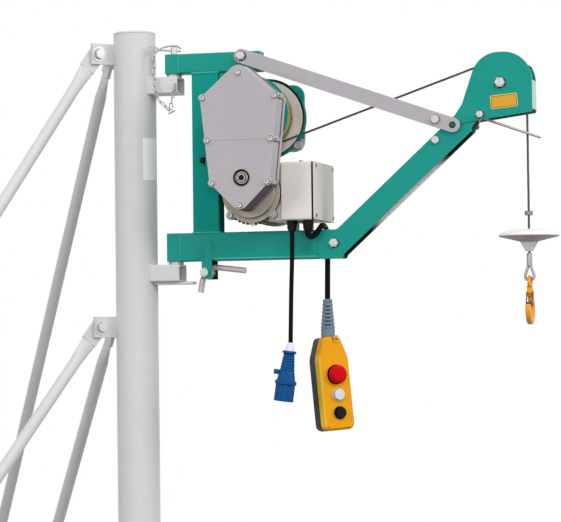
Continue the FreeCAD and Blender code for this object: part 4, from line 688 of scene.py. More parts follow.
class Shape:
    """A mesh under construction, in metres, in the part's frame."""

    def __init__(self) -> None:
        """Starts an empty mesh."""
        self.mesh = bmesh.new()

    def skin(self, rings: Sequence[Sequence[Vector]], closed: bool = False) -> None:
        """A tube through rings of equal count.

        Args:
            rings: The rings, each a closed loop of points.
            closed: Whether the last ring joins the first; otherwise both are filled.
        """
        rows = [[self.mesh.verts.new(point) for point in ring] for ring in rings]
        for low, high in pairs(rows, closed):
            for index in range(len(low)):
                following = (index + 1) % len(low)
                self.mesh.faces.new((low[index], low[following], high[following], high[index]))
        if not closed:
            self.mesh.faces.new(list(reversed(rows[0])))
            self.mesh.faces.new(rows[-1])

    def turn(self, base: Vector, axis: Vector, profile: Profile, steps: int = 24,
             hollow: bool = False) -> None:
        """A turned solid.

        Args:
            base: Where height is zero.
            axis: Direction of height.
            profile: Radius and height in millimetres; a third number makes that ring a polygon.
            steps: Points round each ring.
            hollow: Whether the profile is closed on itself, for a ring.
        """
        along = axis.normalized()
        side = along.orthogonal().normalized()
        across = along.cross(side)
        rings = []
        for radius, height, *flats in profile:
            ring = []
            for angle in circle(steps):
                reach = radius
                if flats:
                    sector = 2 * math.pi / flats[0]
                    reach *= math.cos(sector / 2) / math.cos(angle % sector - sector / 2)
                ring.append(base + (along * height + spoke(angle, side, across) * reach) * MM)
            rings.append(ring)
        self.skin(rings, hollow)

    def sweep(self, path: Sequence[Vector], radius: Union[float, Sequence[float]], sides: int = 8,
              closed: bool = False) -> None:
        """A round bar along a path.

        Args:
            path: Points of its middle line.
            radius: Radius in metres, one or one for each point.
            sides: Points round the bar.
            closed: Whether the path is a loop.
        """
        radii = [radius] * len(path) if isinstance(radius, float) else radius
        frames = carried(path, closed)
        self.skin([[point + spoke(angle, side, across) * reach for angle in circle(sides)]
                   for (point, side, across), reach in zip(frames, radii)], closed)

    def slab(self, outline: Sequence[Vector], depth: Vector) -> None:
        """A flat plate from an outline."""
        self.skin([outline, [point + depth for point in outline]])

    def bead(self, start: Vector, end: Vector, radius: float, seed: int = 1) -> None:
        """A weld bead with ripples.

        Args:
            start: One end.
            end: The other end.
            radius: Radius in millimetres.
            seed: Seed of its unevenness.
        """
        chance = random.Random(seed)
        count = max(8, round((end - start).length / (BEAD_STEP * MM)))
        path = [start.lerp(end, k / count) for k in range(count + 1)]
        radii = []
        for k in range(count + 1):
            taper = min(1.0, BEAD_END + BEAD_GROWTH * min(k, count - k))
            ripple = RIPPLE * math.sin(k * RIPPLE_TURN) + chance.uniform(-RIPPLE_CHANCE, RIPPLE_CHANCE)
            radii.append(radius * MM * taper * (1 + ripple))
        self.sweep(path, radii)

    def beads(self, corners: Sequence[Vector], radius: float, closed: bool = True) -> None:
        """Weld beads along the sides of a polygon, or along an open line of points."""
        for index, (start, end) in enumerate(pairs(corners, closed)):
            self.bead(start, end, radius, index)

    def head(self, kind: Fastener, base: Vector, axis: Vector, radius: float, height: float,
             steps: int = 36) -> None:
        """A part of a bolt or screw, sizes in millimetres."""
        profile = [(max(TIP, wide * radius), tall * height, *flats) for wide, tall, *flats in kind.value]
        self.turn(base, axis, profile, steps)

    def hex_head(self, base: Vector, axis: Vector, radius: float, height: float,
                 washer: float = 1.45) -> None:
        """A hexagon head or nut on a washer, sizes in millimetres; radius is to its corners."""
        self.head(Fastener.WASHER, base, axis, radius * washer, height, 32)
        self.head(Fastener.HEXAGON, base, axis, radius, height)

    def crown(self, base: Vector, axis: Vector, radius: float, height: float) -> None:
        """A chamfered hexagon on the top of a round bolt head, sizes in millimetres."""
        self.head(Fastener.CROWN, base + axis * height * MM, axis, radius, 1.0)

    def seat(self, base: Vector, axis: Vector, inner: float, outer: float) -> None:
        """A thin ring round the foot of a bolt or screw, made to carry a painted shadow, sizes in
        millimetres.
        """
        low, high = SHADOW_RING_RISE
        self.turn(base, axis, [(inner, low), (outer, low), (outer, high), (inner, high)], 40, hollow=True)

    def finished(self, name: str, finish: Finish, body: Body = Body.JIB,
                 bend: float = 40.0) -> bpy.types.Object:
        """Turns the mesh into a piece that rides on a body.

        Args:
            name: Name of the piece.
            finish: Its finish.
            body: The body that carries it.
            bend: Angle in degrees above which an edge stays sharp.

        Returns:
            The piece.
        """
        bmesh.ops.recalc_face_normals(self.mesh, faces=self.mesh.faces)
        data = bpy.data.meshes.new(name)
        self.mesh.to_mesh(data)
        self.mesh.free()
        data.shade_smooth()
        data.set_sharp_from_angle(angle=math.radians(bend))
        data.materials.append(finish.material())
        piece = linked(name, data)
        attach(piece, body.value)
        log.info("%s: %d faces on %s", name, len(data.polygons), body.value)
        return piece


def carried(path: Sequence[Vector], closed: bool = False) -> list[tuple[Vector, Vector, Vector]]:
    """Frames carried along a path without twist.

    Args:
        path: Points of the path.
        closed: Whether it is a loop.

    Returns:
        Point, side and across for each point.
    """
    count = len(path)
    tangents = []
    for index in range(count):
        before = path[index - 1] if closed or index else path[0]
        after = path[(index + 1) % count] if closed or index < count - 1 else path[-1]
        tangents.append((after - before).normalized())
    side = tangents[0].orthogonal().normalized()
    frames = []
    for point, tangent in zip(path, tangents):
        side = (side - tangent * side.dot(tangent)).normalized()
        frames.append((point, side, tangent.cross(side)))
    return frames


def stepped(path: Sequence[Vector], step: float) -> list[Vector]:
    """Points at even steps along a path of closely spaced points.

    Args:
        path: Points of the path.
        step: Distance between points, in metres.

    Returns:
        The new points, with both ends.
    """
    lengths = [0.0]
    for start, end in pairs(path, False):
        lengths.append(lengths[-1] + (end - start).length)
    count = max(2, round(lengths[-1] / step))
    points = []
    index = 0
    for k in range(count + 1):
        goal = lengths[-1] * k / count
        while index < len(path) - 2 and lengths[index + 1] < goal:
            index += 1
        span = lengths[index + 1] - lengths[index]
        points.append(path[index].lerp(path[index + 1], (goal - lengths[index]) / span if span else 0.0))
    return points


def stranded(shape: Shape, path: Sequence[Vector], step: float, sides: int) -> None:
    """Six strands of the hoist rope, twisted round a core along a path.

    Args:
        shape: The mesh that takes them.
        path: Middle line of the rope.
        step: Distance between rings, in millimetres.
        sides: Points round a strand.
    """
    strands = 6
    radius = ROPE_RADIUS * MM
    strand = radius * 0.36
    core = radius * 0.45
    frames = carried(stepped(path, step * MM))
    for k in range(strands):
        line = []
        for index, (point, side, across) in enumerate(frames):
            angle = 2 * math.pi * (k / strands + index * step / ROPE_LAY)
            line.append(point + spoke(angle, side, across) * (radius - strand))
        shape.sweep(line, strand, sides)
    shape.sweep([point for point, _, _ in frames], core, sides)


def route_curve(name: str, points: Sequence[Vector], radius: float) -> bpy.types.Curve:
    """A round cord on a smooth curve with the given control points.

    Args:
        name: Name of the curve.
        points: Control points.
        radius: Radius of the cord, or zero for a bare line.

    Returns:
        The curve.
    """
    curve = bpy.data.curves.new(name, "CURVE")
    curve.dimensions = "3D"
    curve.resolution_u = 16
    line = curve.splines.new("NURBS")
    line.points.add(len(points) - 1)
    for knot, point in zip(line.points, points):
        knot.co = (*point, 1.0)
    line.order_u = 3
    line.use_endpoint_u = True
    curve.bevel_depth = radius
    curve.bevel_resolution = 6
    curve.use_fill_caps = True
    return curve


def spline(points: Sequence[Vector]) -> list[Vector]:
    """Points read from a smooth curve that follows control points.

    Args:
        points: Control points.

    Returns:
        Closely spaced points of the curve.
    """
    curve = route_curve("line", points, 0.0)
    maker = linked("line", curve)
    bpy.context.view_layer.update()
    mesh = bpy.data.meshes.new_from_object(maker)
    line = [vertex.co.copy() for vertex in mesh.vertices]
    bpy.data.objects.remove(maker)
    bpy.data.meshes.remove(mesh)
    bpy.data.curves.remove(curve)
    return line


@dataclass
class Assembly:
    """Frame nodes that get a finish, and pieces built on them; sizes in millimetres and degrees."""

    def dress(self, finish: Finish, *nodes: str, edge: float = 0.0) -> None:
        """Gives nodes a finish and perhaps rounded edges.

        Args:
            finish: The finish.
            nodes: Names of the nodes.
            edge: Width of the rounded edges in millimetres, or zero for edges as they are.
        """
        for name in nodes:
            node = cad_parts[name]
            for slot in node.material_slots:
                slot.material = finish.material()
            if edge:
                self.soften(node, edge * MM)
            log.info("%s: finish %s", name, finish.title)

    @staticmethod
    def soften(node: bpy.types.Object, width: float) -> None:
        """Rounds a node's sharp edges with modifiers, so that they catch the light.

        Args:
            node: The node.
            width: Width of the rounding, in metres.
        """
        data = node.data
        for layer in ("custom_normal", "sharp_edge"):
            if layer in data.attributes:
                data.attributes.remove(data.attributes[layer])
        data.shade_smooth()
        weld = node.modifiers.new("weld", "WELD")
        weld.merge_threshold = MERGE_GAP * MM
        flat = node.modifiers.new("flat", "DECIMATE")
        flat.decimate_type = "DISSOLVE"
        flat.angle_limit = ONE_FACE
        rounding = node.modifiers.new("edge", "BEVEL")
        rounding.width = width
        rounding.segments = 2
        rounding.limit_method = "ANGLE"
        rounding.angle_limit = SHARP
        rounding.harden_normals = True

    def build(self) -> None:
        """Dresses the nodes and builds the pieces."""
        raise NotImplementedError


@dataclass
class Stand(Assembly):
    """Mast with foot, legs and braces."""

    bolt: Sizes = (11.5, 8.0)
    leg_angle: float = 130.0
    leg_aside: float = 18.0
    lug_out: float = 35.0
    lug_height: float = 44.0
    lug_half: float = 4.0
    slopes: Sizes = (35.5, 38.6)
    tab: float = 8.3
    bracket_steps: int = 12
    bracket_bead: float = 2.2
    bracket_side_bead: float = 2.4
    lug_bead: float = 2.6
    lug_bead_inset: float = 2.0
    foot_bead: float = 3.0
    label_rise: Sizes = (983.0, 1072.0)
    label_arc: Sizes = (-52.0, 8.0)
    label_skin: Sizes = (0.05, 0.35)

    def build(self) -> None:
        """Paints the stand and adds bolts, welds and the bare label."""
        self.dress(Finishes.POST, "mast_tube", "mast_cap", "mast_foot", "base_legs", "leg_pads",
                   "brace_lugs", "upper_braces", "lower_braces", "upper_bracket", "lower_bracket", edge=1.0)
        self.bolts()
        self.welds()
        self.label()

    def outward(self, side: int) -> tuple[Vector, Vector]:
        """Direction of a rear leg and of its bolts; side is -1 for the near leg."""
        out = spoke(math.radians(self.leg_angle), EAST, FAR * side)
        return out, Vector((out.y, -out.x, 0)) * side

    def bolts(self) -> None:
        """Bolts through lugs, ears and the braces' flat ends."""
        shape = Shape()
        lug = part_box("mast_tube")[1].x + self.lug_out * MM
        half = self.lug_height / 2 * MM
        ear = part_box("base_legs")[1].z - half
        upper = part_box("brace_lugs")[1].z - half
        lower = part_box("brace_lugs")[0].z + half
        places = [(lug, upper), (lug, lower)]
        for height, slope in zip((upper, lower), self.slopes):
            places.append((lug + (height - ear) * math.tan(math.radians(slope)), ear))
        for side, _ in SIDES:
            out, across = self.outward(side)
            for reach, height in places:
                point = out * reach - across * self.leg_aside * MM + UP * height
                shape.hex_head(point + across * self.lug_half * MM, across, *self.bolt)
                shape.hex_head(point - across * (self.lug_half + self.tab) * MM, -across, *self.bolt)
        shape.finished("stand_bolts", Finishes.ZINC, Body.MAST)

    def welds(self) -> None:
        """Beads where brackets, lugs and foot meet the mast."""
        shape = Shape()
        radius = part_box("mast_tube")[1].x
        for node in ("upper_bracket", "lower_bracket"):
            low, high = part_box(node)
            steps = self.bracket_steps
            breadth = [low.y + (high.y - low.y) * k / steps for k in range(steps + 1)]
            for z in (low.z, high.z):
                arc = [Vector((math.sqrt(radius ** 2 - y ** 2), y, z)) for y in breadth]
                shape.beads(arc, self.bracket_bead, closed=False)
            out = math.sqrt(radius ** 2 - low.y ** 2)
            for y in (low.y, high.y):
                shape.bead(Vector((out, y, low.z)), Vector((out, y, high.z)), self.bracket_side_bead)
        lug_low, lug_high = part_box("brace_lugs")
        foot, top = UP * self.lug_bead_inset * MM, UP * (self.lug_height - self.lug_bead_inset) * MM
        for side, _ in SIDES:
            out, across = self.outward(side)
            for low in (lug_low.z, lug_high.z - self.lug_height * MM):
                for face, _ in SIDES:
                    aside = (face * self.lug_half - self.leg_aside) * MM
                    root = out * math.sqrt(radius ** 2 - aside ** 2) + across * aside + UP * low
                    shape.bead(root + foot, root + top, self.lug_bead)
        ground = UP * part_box("mast_foot")[1].z
        shape.beads([spoke(angle, EAST, FAR) * radius + ground for angle in circle(40)], self.foot_bead)
        shape.finished("stand_welds", Finishes.POST, Body.MAST, 60)

    def label(self) -> None:
        """A bare label that follows the mast's curve."""
        columns = 16
        start, end = self.label_arc
        angles = [math.radians(start + (end - start) * k / columns) for k in range(columns + 1)]
        spokes = [spoke(angle, EAST, FAR) for angle in angles]
        inner, outer = (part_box("mast_tube")[1].x + skin * MM for skin in self.label_skin)
        outline = [out * inner for out in spokes] + [out * outer for out in reversed(spokes)]
        shape = Shape()
        shape.skin([[point + UP * height * MM for point in outline] for height in self.label_rise])
        shape.finished("post_label", Finishes.LABEL, Body.MAST)


@dataclass
class Hinge(Assembly):
    """Hinge pins, clip, safety chain and swing lock."""

    link_length: float = 16.5
    link_width: float = 8.6
    link_wire: float = 1.2
    ring: Point = (50.5, -36.0, 1256.5)
    ring_radius: float = 9.5
    ring_lean: float = 0.25
    ring_wire: float = 1.1
    chain: tuple[Point, ...] = (
        (54.2, -36.5, 1239), (54.6, -36.8, 1220), (55.3, -37, 1196), (56.5, -37, 1178), (59, -37, 1160),
        (66, -37, 1148), (82, -36.5, 1134), (95, -36, 1120), (90, -35.5, 1138), (94, -34.5, 1156),
        (98, -32.5, 1174))
    eyelet: Point = (0, 2, 4)
    lock_pivot: Point = (8.0, 5.0, 14.0)
    lock_bolt: Sizes = (9.8, 5.4, 1.02)

    def build(self) -> None:
        """Finishes the hinge's nodes and adds chain, ring and bolt heads."""
        self.dress(Finishes.ZINC, "hinge_pins", edge=0.6)
        self.dress(Finishes.CHAIN, "pin_clip")
        self.dress(Finishes.LEVER, "lock_lever", edge=0.6)
        self.dress(Finishes.POST, "lock_plate", edge=0.8)
        self.dress(Finishes.LOCK, "lock_bracket", edge=0.8)
        self.hang_chain()
        self.clip_ring()
        self.lock_heads()

    def hang_chain(self) -> None:
        """Safety chain of wire links from the clip's ring to an eyelet on the upper bracket."""
        shape = Shape()
        pitch = self.link_length - 3 * self.link_wire
        places = stepped(spline([at(*point) for point in self.chain]), pitch * MM)
        for index, (point, side, across) in enumerate(carried(places)):
            self.link(shape, point, side.cross(across), (side, across)[index % 2])
        self.link(shape, at(*self.chain[-1]) + at(*self.eyelet), UP, FAR)
        shape.finished("safety_chain", Finishes.CHAIN, Body.MAST)

    def clip_ring(self) -> None:
        """Ring of the hairpin clip."""
        shape = Shape()
        side, across = at(1, self.ring_lean, 0) * self.ring_radius, at(0, 0, 1) * self.ring_radius
        path = [at(*self.ring) + spoke(angle, side, across) for angle in circle(40)]
        shape.sweep(path, self.ring_wire * MM, closed=True)
        shape.finished("clip_ring", Finishes.ZINC, Body.MAST)

    def link(self, shape: Shape, centre: Vector, along: Vector, flat: Vector) -> None:
        """One oblong link: two straight sides and two round ends.

        Args:
            shape: The mesh that takes it.
            centre: Middle of the link.
            along: Direction of its length.
            flat: Direction of its width.
        """
        half = (self.link_width / 2 - self.link_wire) * MM
        reach = (self.link_length / 2 - self.link_wire) * MM - half
        path = []
        for angle in circle(16, 0.5):
            shift = math.copysign(reach, math.sin(angle))
            path.append(centre + spoke(angle, flat, along) * half + along * shift)
        shape.sweep(path, self.link_wire * MM, 6, closed=True)

    def lock_heads(self) -> None:
        """Heads of the lock lever's bolt."""
        shape = Shape()
        low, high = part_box("lock_bracket")
        x, inset, z = self.lock_pivot
        for y, axis in ((low.y + inset * MM, NEAR), (high.y - inset * MM, FAR)):
            shape.hex_head(Vector((low.x + x * MM, y, low.z + z * MM)), axis, *self.lock_bolt)
        shape.finished("lock_bolt", Finishes.ZINC)


@dataclass
class JibFrame(Assembly):
    """Arms and riser of the jib, with boom and tie bars."""

    riser_bead: float = 2.0
    arm_bead: float = 1.0
    arm_bead_share: float = 0.9775
    strip: float = 2.6
    strip_height: float = 4.5
    strip_gap: float = 4.0
    cheek_bead: float = 2.2
    cheek_rise: Sizes = (2.0, 40.0)
    knob: Point = (156.4, -20, 1021)
    knob_profile: Profile = ((4.0, -1), (4.0, 3), (6.2, 4), (6.6, 7), (6.0, 10), (4.0, 11), (TIP, 11))
    spacer_bolt: Point = (657.3, 31.9, 1089.8)
    spacer_size: Sizes = (9.2, 6.5)
    boom_bolt: Point = (655.3, 22.8, 1048.0)
    boom_bolt_size: Sizes = (8.2, 5.5)
    washer_share: float = 0.98
    # Dark rings round bolt heads and the tie pin's ends are painted shadows; their sizes are given below.
    shadow_shares: Sizes = (0.8, 1.06)
    tie_bolt: Point = (244.5, 31.9, 1237.5)
    knuckle: Point = (438.0, 22.8, 841.0)
    crown: Sizes = (10.0, 6.3)
    crown_shadow_inner: float = 9.0
    tie_bolt_shadow: float = 10.9
    knuckle_shadow: float = 10.8
    tie_end: Point = (693.1, 31.9, 1077.0)
    tie_end_shadow: Profile = ((6.9, 0), (6.9, 0.5), (5.0, 0.5), (5.0, -1))
    tie_cap: Profile = ((5.0, -1), (5.0, 0.2), (4.4, 0.5), (TIP, 0.5))
    gusset: Profile = ((726.4, 1061.4), (729.8, 1062.4), (733.2, 1073.0), (741.5, 1086.0), (741.5, 1092.0),
                       (699.2, 1092.0))
    gusset_proud: float = 0.5
    gusset_thick: float = 3.0
    corner: Profile = ((190.2, 1206.6), (224.0, 1206.6), (221.0, 1201.0), (190.2, 1172.0))
    corner_half: float = 14.0
    end_thick: float = 4.2
    end_seat: float = 0.5
    end_round: float = 4.0
    end_gap: float = 0.4
    end_drop: float = 3.0

    def build(self) -> None:
        """Paints the frame and adds welds, knob, bolts and plates."""
        self.dress(Finishes.PAINT, "hinge_sleeves", "upper_arm", "lower_arm", "box_foot", edge=0.7)
        self.dress(Finishes.RISER, "riser", edge=0.7)
        self.dress(Finishes.BOOM, "boom", edge=0.6)
        self.dress(Finishes.TIE, "tie_bars", edge=0.9)
        self.dress(Finishes.ZINC, "knuckle_pin", "tie_pins", edge=0.8)
        self.welds()
        self.stop_knob()
        self.bolts()
        self.gussets()
        self.end_plate()

    def end_plate(self) -> None:
        """Plate with rounded corners that closes the lower arm's end inside the boom's heel."""
        low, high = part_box("lower_arm")
        wide, tall = (high.y - low.y) / MM, (high.z - low.z) / MM - self.end_drop
        centre = Vector((high.x, (low.y + high.y) / 2, (low.z + high.z) / 2))
        centre -= at(self.end_seat, 0, self.end_drop / 2)
        half = (wide / 2 - self.end_gap, tall / 2 - self.end_gap)
        outline = [centre + point for point in rounded(half, self.end_round, 5, FAR, UP)]
        shape = Shape()
        shape.slab(outline, EAST * self.end_thick * MM)
        shape.finished("arm_end_plate", Finishes.HEEL)

    def welds(self) -> None:
        """Beads round both ends of the riser, at the sleeves and along the lower arm's edge."""
        shape = Shape()
        low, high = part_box("riser")
        for z in (low.z, high.z):
            shape.beads([Vector((x, y, z)) for x, y in square(low.xy, high.xy)], self.riser_bead)
        for arm in ("upper_arm", "lower_arm"):
            foot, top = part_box(arm)
            corners = [Vector((foot.x, y, z)) for y, z in square(foot.yz, top.yz)]
            centre = sum(corners, Vector()) / 4
            drawn_in = [centre + (corner - centre) * self.arm_bead_share for corner in corners]
            shape.beads(drawn_in, self.arm_bead)
        foot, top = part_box("lower_arm")
        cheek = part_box("lock_bracket")[1].x
        start, end = cheek + self.strip_gap * MM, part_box("boom")[0].x
        ridge = foot.z + self.strip_height * MM
        below, above = (foot.z + rise * MM for rise in self.cheek_rise)
        for y in (foot.y, top.y):
            shape.bead(Vector((start, y, ridge)), Vector((end, y, ridge)), self.strip)
            shape.bead(Vector((cheek, y, below)), Vector((cheek, y, above)), self.cheek_bead)
        shape.finished("jib_welds", Finishes.SEAM, bend=60)

    def stop_knob(self) -> None:
        """Dark rubber knob on the riser's near face."""
        shape = Shape()
        shape.turn(at(*self.knob), NEAR, self.knob_profile)
        shape.finished("riser_knob", Finishes.PLASTIC)

    def bolts(self) -> None:
        """Distance bolt of the tie bars, boom bolt, hexagons on the big bolts, ends of the tie pin, and
        dark rings painted as their shadows.
        """
        heads = Shape()
        caps = Shape()
        ring_shadows = Shape()
        small = ((self.spacer_bolt, self.spacer_size), (self.boom_bolt, self.boom_bolt_size))
        big = ((self.tie_bolt, self.tie_bolt_shadow), (self.knuckle, self.knuckle_shadow))
        for side, axis in SIDES:
            for (x, y, z), (radius, height) in small:
                heads.hex_head(at(x, side * y, z), axis, radius, height, self.washer_share)
                ring_shadows.seat(at(x, side * y, z), axis, *(radius * share for share in self.shadow_shares))
            for (x, y, z), outer in big:
                heads.crown(at(x, side * y, z), axis, *self.crown)
                ring_shadows.seat(at(x, side * y, z), axis, self.crown_shadow_inner, outer)
            x, y, z = self.tie_end
            # A dark ring round each tie pin end: painted shadow in the bar's hole.
            ring_shadows.turn(at(x, side * y, z), axis, self.tie_end_shadow, 32, hollow=True)
            caps.turn(at(x, side * y, z), axis, self.tie_cap, 32)
        heads.finished("tie_bolts", Finishes.ZINC)
        caps.finished("tie_pin_ends", Finishes.DEEP)
        ring_shadows.finished("bolt_and_pin_shadow_rings", Finishes.PLASTIC)

    def gussets(self) -> None:
        """Plates from the boom's sides to the limit lever's pin, and the one under the upper arm."""
        shape = Shape()
        y = self.boom_bolt[1] + self.gusset_proud
        for side, axis in SIDES:
            shape.slab([at(x, side * y, z) for x, z in self.gusset], -axis * self.gusset_thick * MM)
        shape.slab([at(x, self.corner_half, z) for x, z in self.corner], NEAR * 2 * self.corner_half * MM)
        shape.finished("boom_gussets", Finishes.PAINT)


@dataclass
class Head(Assembly):
    """Sheet head with its sheave, limit lever and bare load plate."""

    plate_middle: Point = (799.7, -25.6, 1122.7)
    plate_half: Sizes = (28.0, 13.75)
    plate_tilt: float = 5.0
    plate_thick: float = 0.9
    plate_corner: float = 4.0
    corner_least: float = 0.6
    fill_inset: float = 2.4
    fill_thick: float = 0.1
    border_insets: Sizes = (1.5, 2.6)
    border_thick: float = 0.18
    axle: Point = (792.1, 25.6, 1161.0)
    axle_radius: float = 11.0
    pivot: Point = (749.6, 25.6, 1097.0)
    pivot_radius: float = 8.0
    crown_height: float = 7.3
    # Dark rings round the bolt heads are painted shadows; their rim and share follow.
    shadow_rim: float = 0.8
    shadow_share: float = 0.9

    def build(self) -> None:
        """Finishes the head and adds its plate and bolts."""
        self.dress(Finishes.HEAD, "head_housing", edge=0.6)
        self.dress(Finishes.ZINC, "head_pins", edge=0.8)
        self.dress(Finishes.LIMIT, "limit_lever")
        self.dress(Finishes.IRON, "head_sheave")
        self.load_plate()
        self.bolts()

    def outline(self, inset: float, lift: float) -> list[Vector]:
        """Rounded outline of the tilted plate.

        Args:
            inset: How far it is drawn in, in millimetres.
            lift: How far it stands off the cheek, in millimetres.

        Returns:
            The points.
        """
        tilt = math.radians(self.plate_tilt)
        side, across = spoke(tilt), spoke(tilt + math.pi / 2)
        half = [reach - inset for reach in self.plate_half]
        radius = max(self.corner_least, self.plate_corner - inset)
        centre = at(*self.plate_middle) + NEAR * lift * MM
        return [centre + point for point in rounded(half, radius, 6, side, across)]

    def load_plate(self) -> None:
        """Bare yellow plate with a pale rim and a dark border line."""
        rim = Shape()
        rim.slab(self.outline(0, 0), NEAR * self.plate_thick * MM)
        rim.finished("load_plate_rim", Finishes.PALE)
        fill = Shape()
        fill.slab(self.outline(self.fill_inset, self.plate_thick), NEAR * self.fill_thick * MM)
        fill.finished("load_plate", Finishes.PLATE)
        border = Shape()
        outer, inner = self.border_insets
        low, high = self.plate_thick, self.plate_thick + self.border_thick
        corners = ((outer, low), (outer, high), (inner, high), (inner, low))
        border.skin([self.outline(*corner) for corner in corners], closed=True)
        border.finished("load_plate_border", Finishes.PLASTIC)

    def bolts(self) -> None:
        """Hexagons on the axle's and the lever pin's heads, and dark rings round them painted as shadows.
        """
        shape = Shape()
        bolt_shadows = Shape()
        for (x, y, z), radius in ((self.axle, self.axle_radius), (self.pivot, self.pivot_radius)):
            for side, axis in SIDES:
                shape.crown(at(x, side * y, z), axis, radius, self.crown_height)
                bolt_shadows.seat(at(x, side * y, z), axis, radius * self.shadow_share, radius + self.shadow_rim)
        shape.finished("head_bolts", Finishes.ZINC)
        bolt_shadows.finished("head_bolt_shadows", Finishes.PLASTIC)


@dataclass
class RopeGear(Assembly):
    """Hoist rope, stop, weight, loop and hook."""

    step: float = 3.0
    grid: float = 0.8
    passes: int = 22
    pass_share: float = 0.5
    arc_steps: int = 48

    def build(self) -> None:
        """Finishes the load gear and twists the rope."""
        self.dress(Finishes.STOP, "rope_stop", edge=0.5)
        self.dress(Finishes.WEIGHT, "hook_weight", edge=0.5)
        self.dress(Finishes.LOOP, "rope_eye")
        self.dress(Finishes.HOOK, "hook")
        self.forge(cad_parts["hook"])
        self.dress(Finishes.LATCH, "hook_latch", edge=0.3)
        self.hoist_rope()

    def forge(self, node: bpy.types.Object) -> None:
        """Rounds a node all over with modifiers, as a forging is.

        Args:
            node: The node.
        """
        weld = node.modifiers.new("weld", "WELD")
        weld.merge_threshold = MERGE_GAP * MM
        cells = node.modifiers.new("cells", "REMESH")
        cells.mode = "VOXEL"
        cells.voxel_size = self.grid * MM
        cells.use_smooth_shade = True
        rub = node.modifiers.new("rub", "SMOOTH")
        rub.factor = self.pass_share
        rub.iterations = self.passes

    def line(self) -> list[Vector]:
        """Middle line of the rope: drum, sheave, plumb run.

        Returns:
            Points of the line.
        """
        sheave = middle("head_sheave")
        drum = middle("drum")
        drum.y = sheave.y = 0.0
        low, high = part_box("hoist_rope")
        sheave_r = high.x - ROPE_RADIUS * MM - sheave.x
        drum_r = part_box("wound_rope")[1].z - drum.z - ROPE_RADIUS * MM
        gap = sheave - drum
        slope = math.atan2(gap.z, gap.x) + math.asin((drum_r + sheave_r) / gap.length)
        points = [drum + spoke(slope - math.pi / 2) * drum_r]
        first = slope + math.pi / 2
        angles = [first * (1 - k / self.arc_steps) for k in range(self.arc_steps + 1)]
        points += [sheave + spoke(angle) * sheave_r for angle in angles]
        points.append(Vector((sheave.x + sheave_r, 0, low.z)))
        return points

    def hoist_rope(self) -> None:
        """Stranded rope in place of the plain solid."""
        shape = Shape()
        stranded(shape, self.line(), self.step, 5)
        rope = shape.finished("hoist_rope_strands", Finishes.ROPE, bend=80)
        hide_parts("hoist_rope")


